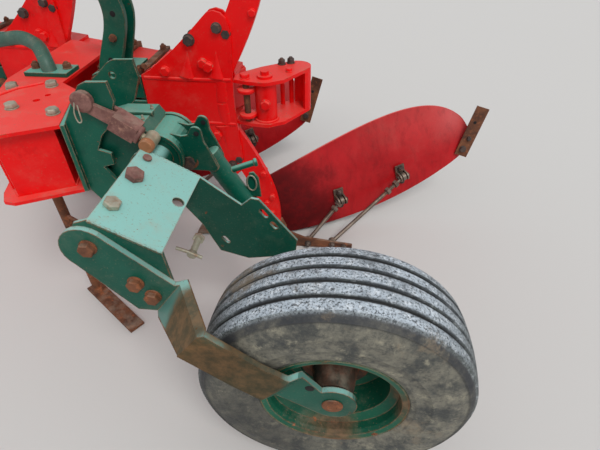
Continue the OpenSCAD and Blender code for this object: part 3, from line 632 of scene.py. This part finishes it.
# Yoke behind the rear bracket
YOKE_Z = 94
BARREL = (-262, -44, 77)
YOKE_PIN = (-190, -16)
for upper in (False, True):
    leg = at_leg(0, upper)
    for x, y, size in ((-186, -26, 34), (-350, -112, 24)):
        bolt(RED_BOLTS, leg @ facing((x, y, YOKE_Z), UP), size)
    for x, y in ((-345, -212), (-309, -194)):
        bolt(DARK_BOLTS, leg @ facing((x, y, YOKE_Z), UP), 28, nut=True)
    weld(RED_WELDS, ring(BARREL, 47, "XY"), place=leg)
    RED_WELDS.add(turned([(34, 0), (36, 3), (36, 12), (33, 16)], 28), leg @ at(*YOKE_PIN, 44))
leg = at_leg(0)
RUST_BITS.add(turned([(13, -78), (13, 78)], 20), leg @ at(*YOKE_PIN, 0))
bolt(RED_BOLTS, leg @ facing((-268, 0, 0)), 34)

# Beam: cap at its rear end, plate and bolts where the front frame joins it
BEAM_0 = LEG_0 + Vector((0, BEAM_Y, 0))
BEAM_RUN = (BODIES - 1) * PITCH_LENGTH
along = at(*BEAM_0) @ spun(-LINE_A)
RED_BEAM = Pile("beam_fittings", "red_paint", bevel=1.5)
RED_BEAM.add(block(8, 152, 152, (-132, 0, -76)), along)
RED_BEAM.add(block(180, 10, 140, (BEAM_RUN + 500, -85, -70)), along)
for x in (440, 500, 560):
    bolt(DARK_BOLTS, along @ facing((BEAM_RUN + x, -90, 0), FAR), 36)

# Carrier of the wheel and the parking leg
CARRIER_TOP = 880
CARRIER_LOW = 630
CARRIER_WALL = [(925, -446), (990, -652), (1104, -730)]
CARRIER_OUTER = [(1250, -770), (1180, -560), (1120, -400), (1085, -366)]
for x, y in ((1112, -535), (952, -508), (1214, -694), (1080, -724)):
    bolt(PALE_BOLTS, facing((x, y, CARRIER_TOP), UP), 36)
    bolt(DARK_BOLTS, facing((x, y, CARRIER_LOW), DOWN), 36, nut=True)
bored("carrier_plates", "carrier_plates_bored", "frame", "red_paint",
      [(turned([(r, CARRIER_TOP - 20), (r, CARRIER_TOP + 10)]), at(x, y, 0))
       for x, y, r in ((1051, -646, 10), (1066, -600, 12), (1150, -470, 9))])
weld(RED_WELDS, [(1236, -600, 881), (1190, -690, 881), (1120, -748, 881)], 7)
for z in (867, 643):
    weld(RED_WELDS, [(x, y, z) for x, y in CARRIER_WALL])
    weld(RED_WELDS, [(x, y, z) for x, y in CARRIER_OUTER])
RED_BOLTS.add(turned([(34, 0), (36, 3), (36, 8), (30, 12), (26, 12), (24, 9)], 28),
              facing((1155, -484, 700), (0.93, 0.36, 0)))
for x, y in ((1120, -400), (1180, -560)):
    weld(RED_WELDS, [(x + 2, y + 1, 650), (x + 2, y + 1, 862)], 4)

# Green bracket of the wheel arm
PIVOT = (615, BEAM_Z)
NIPPLE = turned([(6, 0), (6, 8), (3, 10), (4.5, 14), (3.5, 18)], 12)
for x, y in ((888, -449), (948, -639)):
    weld(GREEN_WELDS, [(x, y, 860), (x, y, 652)])
for y in (-486, -640):
    GREEN_BITS.add(side_plate(arc(PIVOT, 84, 70, 290, 22) + arc(PIVOT, 70, 290, 70, 22), y, y + 14))
SPINE = [(640, -560, 868), (700, -560, 868), (760, -560, 862), (860, -560, 832)]
GREEN_BITS.add(tube(curve(SPINE, 6), 9, 10))
weld(GREEN_WELDS, [(884, -480, 824), (762, -480, 862), (652, -480, 864)], 4)
for y in (-520, -600):
    PALE_BOLTS.add(NIPPLE, facing((660, y, 863), UP))

# Latch: two ear plates, the spring between them, and the catch's tube with its handle
EAR = ([(612, 56), (575, 70), (542, 62), (520, 66)] + arc((492, 74), 22, 55, 190, 8)
       + [(468, 46), (456, 18), (440, -24)] + arc((447, -52), 15, 150, 280, 6)
       + [(500, -66), (560, -66), (604, -58)])
CATCH_TOP = (458, -550, 712)
HANDLE_END = (322, -575, 690)
SPRING_X, SPRING_Z = 526, BEAM_Z - 28
SPRING_R = 27
SPRING_STEP = 1.05
LOOP = (330, -548, 622)
TAB = [(300, 560), (345, 560), (352, 600), (338, 660), (322, 664), (305, 640)]
LATCH = Pile("latch_ears", "green_paint", stands_for="latch", bevel=1.5)
for y in (-510, -590):
    LATCH.add(side_plate([(x, BEAM_Z + z) for x, z in EAR], y - 10, y))
LATCH.add(side_plate([(470, 690), (446, 684), (430, 702), (440, 724), (462, 720)], -588, -514))
LATCH.add(tube([CATCH_TOP, (356, -550, 532)], 36, 24))
LATCH.add(lathe([(40, 0), (40, 26), (34, 30), (0, 30)]), facing(CATCH_TOP, (0.49, 0, 0.87)))
LATCH.add(tube([(404, -552, 668), (380, -556, 676), HANDLE_END], 11, 14))
LATCH.add(turned([(15, 0), (15, 9), (12, 12)], 16), facing(HANDLE_END, (-0.95, -0.3, 0.2)))
for y in (-500, -580):
    bore_shade(BORE_SHADES, facing((484, y, BEAM_Z + 78)), 8)
coil = [(SPRING_X + SPRING_R * cos(a / 3), -585 + a * SPRING_STEP, SPRING_Z + SPRING_R * sin(a / 3))
        for a in range(72)]
RUST_BITS.add(tube(coil, 6.5, 8))
RUST_BITS.add(turned([(15, 0), (15, 98)], 18), facing((SPRING_X, -594, SPRING_Z)))
DARK_BOLTS.add(turned([(24, 0), (26, 3), (26, 9)], 6), facing((SPRING_X, -498, SPRING_Z)))
loop = [(LOOP[0] + 17 * cos(a / 4), LOOP[1] + 4 * sin(a / 4), LOOP[2] + 34 * sin(a / 4))
        for a in range(26)]
PALE_BOLTS.add(tube(loop, 3.2, 8))
GREEN_BITS.add(side_plate(TAB, -560, -552))

# Depth screw: its block stays, and gets the pin's head, a collar, the greased rod and its cross head
SCREW = Vector((-0.818, 0, -0.575))
SCREW_TOP = Vector((790, -436, BEAM_Z + 205))
SCREW_EYE = Vector((612, -436, BEAM_Z + 80))
THREAD = [(14.2 - (k % 2) * 1.6, 175 + k * 1.4) for k in range(14)]
CLIP = [(806, -420, 962), (812, -412, 930), (806, -408, 905), (796, -410, 908), (797, -414, 935),
        (799, -420, 955)]
PINK = Pile("screw_fittings", "pink_rust", "rusted_steel", bevel=1.5)
GREASE = Pile("screw_rod", "greasy_steel", "worn_steel")
PINK.add(turned([(30, 2), (33, 6), (33, 11), (27, 16), (12, 18)], 26), facing(SCREW_TOP))
PINK.add(turned([(26, 0), (29, 3), (29, 12), (24, 15)], 26), facing(SCREW_TOP + SCREW * 174, SCREW))
GREASE.add(lathe([(0, 172)] + THREAD + [(13.6, 196), (13.6, 218), (0, 218)], 20), facing(SCREW_TOP, SCREW))
GREASE.add(turned([(20, -34), (23, -31), (23, 20)], 26), facing(SCREW_EYE))
CROSS_HEAD = Pile("screw_cross_head", "orange_rust", "rusted_steel")
CROSS_HEAD.add(lathe([(0, 19), (23.4, 19), (23.4, 34), (20, 39), (0, 40)], 26), facing(SCREW_EYE))
PALE_BOLTS.add(tube(curve(CLIP, 6), 2.2, 8))

# Wheel arm
SLOPE = Vector((-0.487, 0, 0.873))
SLOTS = [(262, 604, 12), (230, 556, 9), (404, 478, 10)]
CHANNEL_ENDS = [Vector((630, 0, BEAM_Z + 70)), Vector((458, 0, BEAM_Z - 26))]
PIN_X, PIN_Z = 506, 470
ARM_BOLTS = Pile("arm_bolts", "rusted_steel", body="wheel_arm")
ARM_PINK = Pile("arm_bolts_pink", "pink_rust", "rusted_steel", body="wheel_arm")
ARM_PALE = Pile("arm_bolts_pale", "pale_bolt", "worn_steel", body="wheel_arm")
ARM_WELDS = Pile("arm_welds", "arm_paint", "green_paint", body="wheel_arm", smooth=70)
# Near-black discs as painted shade inside the arm's bores.
ARM_BORE_SHADES = Pile("arm_bore_shades", "bore_shade", "rusted_steel", body="wheel_arm")


def slot_cutter(x, z, reach):
    """A slot with round ends in the arm's far wall."""
    ends = (arc((x - 0.57 * reach, z - 0.82 * reach), 8, 145, 325, 6)
            + arc((x + 0.57 * reach, z + 0.82 * reach), 8, -35, 145, 6))
    return side_plate(ends, -420, -390), at(0, 0, 0)


for x, z in ((640, 753), (546, 632), (508, 584)):
    bolt(ARM_BOLTS, facing((x, -36, z)), 38)
    bolt(ARM_BOLTS, facing((x, -62, z), FAR), 38, nut=True)
bolt(ARM_PINK, facing(Vector((601, -270, 813)) + SLOPE * 0.5, SLOPE), 48, washer=False)
bolt(ARM_PALE, facing(Vector((604, -133, 815)) + SLOPE * 0.5, SLOPE), 40, washer=False)
bored("arm_channel", "arm_channel_bored", "wheel_arm", "arm_paint",
      [(turned([(17, -30), (17, 20)], 28), facing((479, -254, 745), SLOPE))]
      + [slot_cutter(*slot) for slot in SLOTS])
ARM_PINK.add(lathe([(0, 0), (12, 0), (14, 3), (13, 8), (0, 9)], 14), facing(Vector((600, -368, 814)), SLOPE))
for y in (-54, -408):
    weld(ARM_WELDS, [end + Vector((0, y, 0)) for end in CHANNEL_ENDS], 4.5)
for y in (-402, -64):
    weld(ARM_WELDS, ring((PIVOT[0], y, PIVOT[1]), 49))
PIN = Pile("arm_locking_pin", "pale_bolt", "worn_steel", body="wheel_arm")
PIN.add(turned([(12, -26), (12, 66), (9, 70)], 16), facing((PIN_X, -392, PIN_Z)))
PIN.add(tube(curve([(470, -318, 462), (500, -320, 474), (520, -320, 484), (556, -318, 500)], 5), 6.5, 10))
PIN.add(tube([(PIN_X, -330, PIN_Z), (PIN_X, -318, PIN_Z)], 17, 16))
PIN.add(turned([(20, -14), (22, -10), (22, 0)], 6), facing((PIN_X, -400, PIN_Z)))
HUB_END = Pile("arm_hub_nut", "rusted_steel", body="wheel_arm")
HUB_END.add(turned([(28, 0), (29, 1.5), (28, 4), (24, 6), (14, 7), (12, 5)], 28), facing((2, 120, 378)))
bore_shade(ARM_BORE_SHADES, facing((63, 120, 452)), 12)
weld(ARM_WELDS, ring((0, 103, TYRE_R), 46), 4.5)

# Wheel, turned about its own axle
AXLE = facing((0, 0, TYRE_R))
TYRE_SIDES = 160
SHOULDER = 100
SHOULDER_DROP = [(-0.5, 0.8), (1.5, 2.5), (3, 6), (6.5, 9)]
GROOVE = [(-7, 0.5), (-6, 1.8), (-4.2, 8.6), (-3.2, 9), (3.2, 9), (4.2, 8.6), (6, 1.8), (7, 0.5)]
WALL = [(358.5, 112.5), (352, 116.5), (349.5, 119.5), (347, 119.8), (344.5, 118.9), (331, 123.8),
        (312, 128.6), (300, 130.4), (297.5, 131), (294.5, 131), (292, 130.4), (276, 130.6), (262, 130),
        (259.5, 131), (256.5, 131), (254, 129.4), (236, 126.6), (222, 123.4), (219.5, 124), (216.5, 123.4),
        (214.5, 121.5), (206, 119.6), (201, 116), (198.4, 112), (188.5, 108), (184.5, 100), (184.5, 72)]


def crown(y):
    """The tread's radius at a distance from its middle."""
    return TYRE_R - 9 * (y / 100) ** 2


half = [(crown(0), 0)]
for g in GROOVES:
    half.append((crown(g - 9), g - 9))
    half += [(crown(g) - deep, g + off) for off, deep in GROOVE]
    half.append((crown(g + 9), g + 9))
half += [(crown(y), y) for y in (88, 96)]
half += [(crown(SHOULDER) - deep, SHOULDER + off) for off, deep in SHOULDER_DROP]
half += WALL
profile = half + [(r, -y) for r, y in half[::-1][:-1]]
corners, faces = lathe(profile, TYRE_SIDES)
last = (len(profile) - 1) * TYRE_SIDES
faces += [(last + k, last + (k + 1) % TYRE_SIDES, (k + 1) % TYRE_SIDES, k) for k in range(TYRE_SIDES)]
TYRE = Pile("tyre_ribbed", "tyre_rubber", body="wheel", stands_for="tyre", smooth=32)
TYRE.add((corners, faces), AXLE)

WHEEL_NUTS = 6
NUT_CIRCLE = 82
WHEEL_BOLTS = Pile("wheel_nuts", "rusted_steel", body="wheel")
for k in range(WHEEL_NUTS):
    spoke = AXLE @ spun(k * tau / WHEEL_NUTS)
    bolt(WHEEL_BOLTS, spoke @ at(NUT_CIRCLE, 0, -4), 24, washer=False)
    bolt(WHEEL_BOLTS, spoke @ facing((NUT_CIRCLE, 0, -31.5), DOWN), 24, nut=True, washer=False)
WHEEL_BOLTS.add(lathe([(66, 4), (70, 4), (70, 9), (62, 14), (60, 20), (58, 20), (58, 4), (66, 4)], 40), AXLE)
WHEEL_BOLTS.add(turned([(40, -74), (54, -71), (58, -66), (58, -60)], 32), AXLE)
VALVE = Pile("wheel_valve", "worn_steel", body="wheel")
valve_at = AXLE @ spun(2.4)
VALVE.add(tube(curve([(146, 0, -20), (150, 0, 4), (151, 0, 30)], 5), 4.2, 10), valve_at)
VALVE.add(turned([(6, 0), (6, 12), (4.5, 14)], 12), valve_at @ at(151, 0, 28))
RIM_TRIM = Pile("rim_edges", "rim_paint", "green_paint", body="wheel", smooth=50)
for side in (1, -1):
    angles = [tau * k / 8 for k in range(9)]
    bead = [(198.3 + 2.2 * cos(a), side * (115.6 + 3.4 * sin(a))) for a in angles]
    RIM_TRIM.add(lathe(bead, 96), AXLE)

# Mouldboards from the same curves as their solids, with the upper set's tails turned further from the beam.
# Their measures are from the ground under a leg's place, and a board's u runs to its tail and its v runs up
SHIN_Y = -40.3
LOW_EDGE = [[-130, SHIN_Y, 14], [-350, SHIN_Y - 35, 8], [-850, -285, 10], [-1240, -490, 320]]
TOP_EDGE = [[-170, SHIN_Y, 335], [-500, -200, 450], [-1020, -725, 640], [-1221, -520, 453]]
BOARD_N = Vector((0.47, -0.88, 0))
BOARD_T = 8
BELLY = 38
TAIL_REACH = 0.06
BOARD_HOLES = ((0.06, 0.2), (0.06, 0.5), (0.07, 0.8), (0.17, 0.3), (0.18, 0.62))
NU, NV = 64, 18
BACK_COUNT = (NU + 1) * (NV + 1)
# Each stay's u on the board, its foot's X, and how far its end stands off the board's back
STAY_SPOTS = ((0.42, -440, 30.5), (0.68, -560, 35))
STAY_V = 0.32
STAY_EYE_Z = 33
ROD_R = 10


def bezier(points, t):
    a, b, c, d = (Vector(p) for p in points)
    return a * (1 - t) ** 3 + 3 * b * t * (1 - t) ** 2 + 3 * c * t * t * (1 - t) + d * t ** 3


def lifted(edge, rises):
    return [(x, y, z + rise) for (x, y, z), rise in zip(edge, rises)]


EDGES = {False: (LOW_EDGE, TOP_EDGE),
         True: (lifted(LOW_EDGE, (0, 0, -60, -120)), lifted(TOP_EDGE, (0, 0, -160, -123)))}


def board_at(u, v, upper=False):
    """A place on the back of a mouldboard, from its leg's place."""
    low, top = EDGES[upper]
    out = sin(pi * v) * sin(pi * min(1, 1.25 * u) / 1.25)
    return bezier(low, u).lerp(bezier(top, u), v) - BELLY * out * BOARD_N - Vector((0, 0, BEAM_Z))


def tail_round(u, v):
    """Rounds the board's corners at its tail."""
    if u > 1 - TAIL_REACH:
        t = (u - 1 + TAIL_REACH) / TAIL_REACH
        v = 0.5 + (v - 0.5) * sqrt(max(0.02, 1 - 0.55 * t * t))
    return u, v


def corner(a, b, front=0):
    return a * (NV + 1) + b + front * BACK_COUNT


def board_shape(upper):
    """A mouldboard's corners, and its faces: the back, as many for the front, and the rim between them."""
    grid = [board_at(*tail_round(a / NU, b / NV), upper) for a in range(NU + 1) for b in range(NV + 1)]
    back = [(corner(a, b), corner(a + 1, b), corner(a + 1, b + 1), corner(a, b + 1))
            for a in range(NU) for b in range(NV)]
    front = [tuple(k + BACK_COUNT for k in face[::-1]) for face in back]
    runs = ([(a, b, a + 1, b) for b in (0, NV) for a in range(NU)]
            + [(a, b, a, b + 1) for a in (0, NU) for b in range(NV)])
    rim = [(corner(a, b), corner(c, d), corner(c, d, 1), corner(a, b, 1)) for a, b, c, d in runs]
    return grid + [p + BOARD_T * BOARD_N for p in grid], back + front + rim


def fit_board(i, upper, leg):
    """One mouldboard, with its bolts' low heads on its front."""
    name = "%s_%s" % ("upper" if upper else "lower", ("rear", "middle", "front")[i])
    board = Pile("board_" + name, "board_paint", stands_for="mouldboard_" + name, smooth=50)
    board.front_look = "soil_steel"
    board.fronts = range(NU * NV, 2 * NU * NV)
    board.add(board_shape(upper), leg)
    for u, v in BOARD_HOLES:
        place = leg @ facing(board_at(u, v, upper) + BOARD_T * BOARD_N, BOARD_N)
        BOARD_BOLTS.add(lathe([(0, 0), (15, 0), (14, 1.2), (0, 1.4)], 18), place)


def fit_stay(stay, upper, leg, u, foot_x, off):
    """One stay: a plate with ears on the board, and a threaded rod with two nuts, with an eye at each end."""
    seat = board_at(u, STAY_V, upper)
    end = seat - off * BOARD_N
    foot = Vector((foot_x, LEG_Y - 10, 26 - BEAM_Z))
    along_u = (board_at(u + 0.02, STAY_V, upper) - seat).normalized()
    out = -BOARD_N.normalized()
    up = out.cross(along_u).normalized()
    basis = leg @ at(*seat) @ Matrix((along_u, up, out)).transposed().to_4x4()
    stay.add(block(50, 112, BOARD_T, (0, 0, -2)), basis)
    ear = [(-24, 2), (24, 2), (22, 34)] + arc((0, 34), 22, 0, 180, 8) + [(-22, 34)]
    for side in (-1, 1):
        corners, faces = prism(ear, side * 19 - 4, side * 19 + 4)
        stay.add(([(z, x, y) for x, y, z in corners], faces), basis)
        bolt(BOARD_BOLTS, basis @ at(0, side * 40, 6), 26, nut=True)
        bolt(BOARD_BOLTS, basis @ facing((side * 23, 0, STAY_EYE_Z), (side, 0, 0)), 22, washer=False)
    way = (end - foot).normalized()
    length = (end - foot).length
    rod = leg @ facing(foot, way)
    stay.add(tube([foot, foot + way * length * 0.72], ROD_R, 14), leg)
    thread = [(ROD_R - (j % 2) * 1.3, length * 0.72 + j * 2.0) for j in range(int(length * 0.2 / 2.0))]
    tip = [(ROD_R - 1, thread[-1][1] + 1), (ROD_R - 1, length - 20), (0, length - 20)]
    stay.add(lathe([(0, length * 0.71)] + thread + tip, 14), rod)
    for share in (0.76, 0.87):
        lock_nut = turned([(19, 0), (20, 2), (20, 16), (19, 18)], 6)
        stay.add(lock_nut, leg @ facing(foot + way * length * share, way))
    corners, faces = prism(arc((0, 0), 21, 0, 360, 20)[:-1], -9, 9)
    stay.add(([(z, x, y + STAY_EYE_Z) for x, y, z in corners], faces), basis)
    stay.add(turned([(19, -12), (19, 12)]), leg @ facing(foot))
    bolt(BOARD_BOLTS, leg @ facing((foot.x, 0, foot.z)), 26, nut=True)


BOARD_BOLTS = Pile("board_bolts", "dark_bolt", "rusted_steel")
STAYS = {}
for i, upper, leg in legs():
    fit_board(i, upper, leg)
    if upper not in STAYS:
        level = "upper" if upper else "lower"
        STAYS[upper] = Pile("stays_%s_fitted" % level, "worn_steel", stands_for="stays_" + level)
    for spot in STAY_SPOTS:
        fit_stay(STAYS[upper], upper, leg, *spot)

# Bolts of the tail pieces, which only the lower set has, and of the landsides, frogs and shares
TAIL_AT = board_at(0.965, 0.1) + Vector((0, 12.2, 0))
TAIL_TURNS = ((-6, "Z"), (-14, "Y"), (12, "X"))
LANDSIDE_BOLTS = ((-170, 66), (-250, 66), (-370, 44), (-620, 18))
FROG_BOLTS = ((-190, 126), (-262, 132))
SHARE_BOLTS = ((95, 33.2), (45, 43.8))
SHARE_N = (0.208, 0, 0.978)
for _, upper, leg in legs():
    if not upper:
        tail = leg @ at(*TAIL_AT)
        for angle, letter in TAIL_TURNS:
            tail = tail @ spun(radians(angle), letter)
        bolt(BOARD_BOLTS, tail @ facing((4, 10, 36)), 28)
        bolt(BOARD_BOLTS, tail @ facing((-2, 10, 96)), 20)
        bore_shade(BORE_SHADES, tail @ facing((6, 10, 180)), 7)
    for x, z in LANDSIDE_BOLTS:
        bolt(BOARD_BOLTS, leg @ facing((x, 0, z - BEAM_Z)), 24)
    for x, z in FROG_BOLTS:
        bolt(RUST_BITS, leg @ facing((x, LEG_Y, z - BEAM_Z)), 24)
    for x, z in SHARE_BOLTS:
        BOARD_BOLTS.add(turned([(13, 0), (12, 2)], 18), leg @ facing((x, -70, z - BEAM_Z), SHARE_N))

# Skimmers: stems with a slight swan neck, their clamps, straps and bolts
SKIM_X = 330
STEM_Y = -23
STEM_HOLES = ((14, 150, True), (-20, 235, False), (-42, 320, True), (-30, 400, False))
NECK = [(34, -6, 50), (32, 60, 50), (22, 130, 48), (-6, 200, 46), (-34, 270, 43), (-44, 330, 41),
        (-30, 400, 38), (0, 470, 35)]
CLAMP = [(228, 6), (232, 92), (262, 106), (408, 106), (432, 96), (434, 6)]
HOOK = [(236, -30, 100), (224, -26, 124), (214, -16, 134), (204, -6, 136)]
BEAM_SLOPE = 0.3765
GREEN_BOLTS = Pile("skimmer_bolts", "rusted_steel")
STEMS = Pile("skimmer_stems_bent", "green_paint", stands_for="skimmer_stems", bevel=2.0)
CLAMPS = Pile("skimmer_clamps_strapped", "green_paint", stands_for="skimmer_clamps", bevel=2.0)
STRAPS = Pile("skimmer_straps", "rusted_steel", bevel=1.5)


def stem_edge(side):
    """One edge of a skimmer's stem, as X and Z."""
    return [(p.x, p.z) for p in curve([(SKIM_X + x + side * wide, 0, z) for x, z, wide in NECK], 5)]


def fit_strap(x, leg):
    """A strap over the beam, from the clamp's plate to a lug behind the beam, with its bolts."""
    far = BEAM_Y - 85.5 - (x + 16) * BEAM_SLOPE
    STRAPS.add(block(32, STEM_Y + 1 - far, 16, (x, (STEM_Y + 1 + far) / 2, 81)), leg)
    bolt(GREEN_BOLTS, leg @ facing((x, -3, 78)), 30)
    bolt(GREEN_BOLTS, leg @ facing((x, far + 24, 97), UP), 24, nut=True)
    bolt(GREEN_BOLTS, leg @ facing((x, -60, 97), UP), 24, nut=True)
    STRAPS.add(block(32, 22, 100, (x, far - 8, -2)), leg)


STEM = stem_edge(1) + stem_edge(-1)[::-1]
for _, _, leg in legs():
    STEMS.add(side_plate(STEM, -45, STEM_Y), leg)
    STEMS.add(side_plate([(x * 0.9 + SKIM_X * 0.1 - 12, z) for x, z in STEM if z < 400], -112, -100), leg)
    STEMS.add(side_plate([(x * 0.3 + SKIM_X * 0.7 + 4, z) for x, z in STEM if z < 380], -101, -44), leg)
    for shift, z, empty in STEM_HOLES:
        place = leg @ facing((SKIM_X + shift, STEM_Y, z))
        if empty:
            bore_shade(BORE_SHADES, place, 10)
        else:
            bolt(GREEN_BOLTS, place, 24)
    CLAMPS.add(side_plate(CLAMP, STEM_Y, -3), leg)
    CLAMPS.add(block(130, 190, 14, (345, -118, 84)), leg)
    for x in (254, 416):
        fit_strap(x, leg)
    STRAPS.add(tube(curve(HOOK, 5), 10, 12), leg)

# Round bent arm from the carrier's top to the next skimmer's clamp
ROUND_PATH = [(1145, -832, 884), (1160, -850, 925), (1200, -898, 950), (1253, -950, 956), (1328, -982, 967),
              (1443, -1012, 947), (1550, -1062, 920), (1650, -1140, 900), (1728, -1212, 880),
              (1738, -1222, 856)]
ROUND = Pile("round_arm", "dull_green", "green_paint")
ROUND.add(tube(curve(ROUND_PATH, 8), 27, 18))
GREEN_BITS.add(block(170, 96, 16, (1150, -852, 880)))
GREEN_BITS.add(block(110, 90, 14, (1745, -1234, 853)))
for x, y, z in ((1088, -860, 896), (1212, -856, 896), (1712, -1266, 867), (1780, -1266, 867)):
    bolt(GREEN_BOLTS, facing((x, y, z), UP), 28, nut=True)

# Headstock and turnover, from the headstock's rear face on the turnover shaft's line
HEAD_X = 2966
CHEEK_Y = 380
CYL_X = 16
CYL_Z = 428
CRANK_R = 137
CRANK_A = radians(31)
HEAD_BOLTS = Pile("headstock_bolts", "dark_bolt", "rusted_steel", body="headstock")
HEAD_WELDS = Pile("headstock_welds", "red_paint", body="headstock", smooth=70)
HEAD_STEEL = Pile("headstock_steel", "worn_steel", body="headstock")
# Each seam's Y, its ends as X and Z, and its radius
HEAD_SEAMS = [(358, (2, -72), (128, -72), 6), (358, (130, -78), (130, -186), 6),
              (60, (6, 112), (116, 112), 5), (72, (4, -68), (116, -68), 6)]
head = at(*TURN) @ at(HEAD_X, 0, 0)
for side in (-1, 1):
    for y, start, end, radius in HEAD_SEAMS:
        weld(HEAD_WELDS, [(x, side * y, z) for x, z in (start, end)], radius, head)
    pin = head @ facing((230, side * CHEEK_Y, -130), (0, side, 0))
    HEAD_STEEL.add(turned([(13, 139), (11.5, 143)]), pin)
    HEAD_STEEL.add(tube([(0, -22, 118), (0, 22, 118)], 4.5, 10), pin)
    clip = [(22 * cos(a / 3), 22 * sin(a / 3), 118 + 4 * sin(a / 6)) for a in range(1, 19)]
    HEAD_STEEL.add(tube(clip, 2.6, 8), pin)
    for x, z in ((40, -120), (90, -150)):
        bolt(HEAD_BOLTS, head @ facing((x, side * CHEEK_Y, z), (0, side, 0)), 30)
    for z in (235, 290):
        bolt(HEAD_BOLTS, head @ facing((28, side * 58, z), (0, side, 0)), 24)
HEAD_RED = Pile("headstock_fittings", "red_paint", body="headstock", bevel=1.5)
cyl_top = Vector((CYL_X, 106, CYL_Z))
cyl_eye = Vector((CYL_X, CRANK_R * cos(CRANK_A), CRANK_R * sin(CRANK_A)))
way = (cyl_eye - cyl_top).normalized()
gland = (cyl_eye - cyl_top).length * 0.62
barrel = head @ facing(cyl_top, way)
HEAD_RED.add(turned([(30, -30), (32, -27), (32, 24)], 30), barrel)
HEAD_RED.add(turned([(31, 0), (33, 3), (33, 26), (30, 30)], 30), barrel @ at(0, 0, gland - 28))
for z in (34, gland - 50):
    port = barrel @ facing((0, 0, z), (-1, 0, 0))
    HEAD_RED.add(turned([(13, 24), (13, 40), (10, 42)], 16), port)
    HEAD_BOLTS.add(turned([(14, 40), (14, 52)], 6), port)
bolt(HEAD_BOLTS, head @ facing((CYL_X, 154, CYL_Z)), 30)
bolt(HEAD_BOLTS, head @ facing((34, cyl_eye.y, cyl_eye.z), (1, 0, 0)), 30)
HEAD_BOLTS.add(turned([(44, 0), (46, 3), (46, 22), (42, 26)], 6), head @ facing((-292, 0, 0), (-1, 0, 0)))
nipple = lathe([(0, 0), (7, 0), (7, 9), (4, 11), (5, 16), (0, 18)], 12)
PALE_BOLTS.add(nipple, head @ facing((-176, 0, 94), UP))
weld(RED_WELDS, ring((-254, 0, 0), 96, "YZ", 10), place=head)
beam_end = BEAM_0 + Vector((cos(-LINE_A), sin(-LINE_A), 0)) * (BEAM_RUN + 600)
for side in (1, -1):
    weld(RED_WELDS, [beam_end + Vector((x, y, side * 86)) for x, y in ((28, 75), (-110, 128))], 6)

# Parking leg: handle, foot's collar and a row of rusty studs
STAND_X, STAND_Y = 1085, -525
STAND = Pile("stand_fittings", "rusted_steel", body="stand")
HANDLE = [(STAND_X, STAND_Y, 440), (1060, -512, 442), (1010, -486, 442), (985, -474, 430)]
STAND.add(tube(curve(HANDLE, 5), 7, 10))
STAND.add(lathe([(18, 0), (27, 0), (20, 16), (18, 16)]), at(STAND_X, STAND_Y, 11))
for z in (200, 260, 320, 380):
    STAND.add(turned([(6, 17), (6, 18.3)], 14), facing((STAND_X, STAND_Y, z), (-0.3, 1, 0)))

for pile in Pile.made:
    pile.build()

# Floor, light and camera, in metres
FLOOR = 60.0
FLOOR_DROP = 0.001
FLOOR_COLOUR = (0.60, 0.58, 0.55, 1.0)
SKY_COLOUR = (0.92, 0.95, 1.0, 1.0)
SKY_STRENGTH = 0.72
SUN_STRENGTH = 1.5
SUN_ANGLE = radians(24)
SUN_TURN = (radians(-30), radians(-24), 0)

floor_mesh = bpy.data.meshes.new("floor")
floor_corners = [(-FLOOR, -FLOOR, 0), (FLOOR, -FLOOR, 0), (FLOOR, FLOOR, 0), (-FLOOR, FLOOR, 0)]
floor_mesh.from_pydata(floor_corners, [], [(0, 1, 2, 3)])
floor = linked("floor", floor_mesh)
floor.location.z = -FLOOR_DROP
floor_look = Shader("floor")
floor_look.set(Base_Color=FLOOR_COLOUR, Roughness=0.9)
floor_mesh.materials.append(floor_look.material)

world = bpy.data.worlds.new("world")
bpy.context.scene.world = world
world.use_nodes = True
sky_light = world.node_tree.nodes["Background"]
sky_light.inputs["Color"].default_value = SKY_COLOUR
sky_light.inputs["Strength"].default_value = SKY_STRENGTH

sun_data = bpy.data.lights.new("sun", "SUN")
sun_data.energy = SUN_STRENGTH
sun_data.angle = SUN_ANGLE
sun = linked("sun", sun_data)
sun.rotation_euler = SUN_TURN

# The photograph's camera, fitted to the wheel's ellipses
CAMERA = Vector((-1.263, 1.700, 1.493))
AHEAD = Vector((0.0859, -0.7657, -0.6374)).normalized()
RIGHT = Vector((-0.9938, -0.1115, 0.0)).normalized()
ROLL = radians(-0.6)
LENS = 26.14
SENSOR = 36.0

camera_data = bpy.data.cameras.new("camera")
camera_data.lens = LENS
camera_data.sensor_width = SENSOR
camera_data.sensor_fit = "HORIZONTAL"
camera = linked("camera", camera_data)
turned_to = Matrix((RIGHT, RIGHT.cross(AHEAD), -AHEAD)).transposed().to_4x4()
camera.matrix_world = Matrix.Translation(CAMERA) @ turned_to @ Matrix.Rotation(ROLL, 4, "Z")
bpy.context.scene.camera = camera
bpy.context.scene.view_settings.view_transform = "Standard"
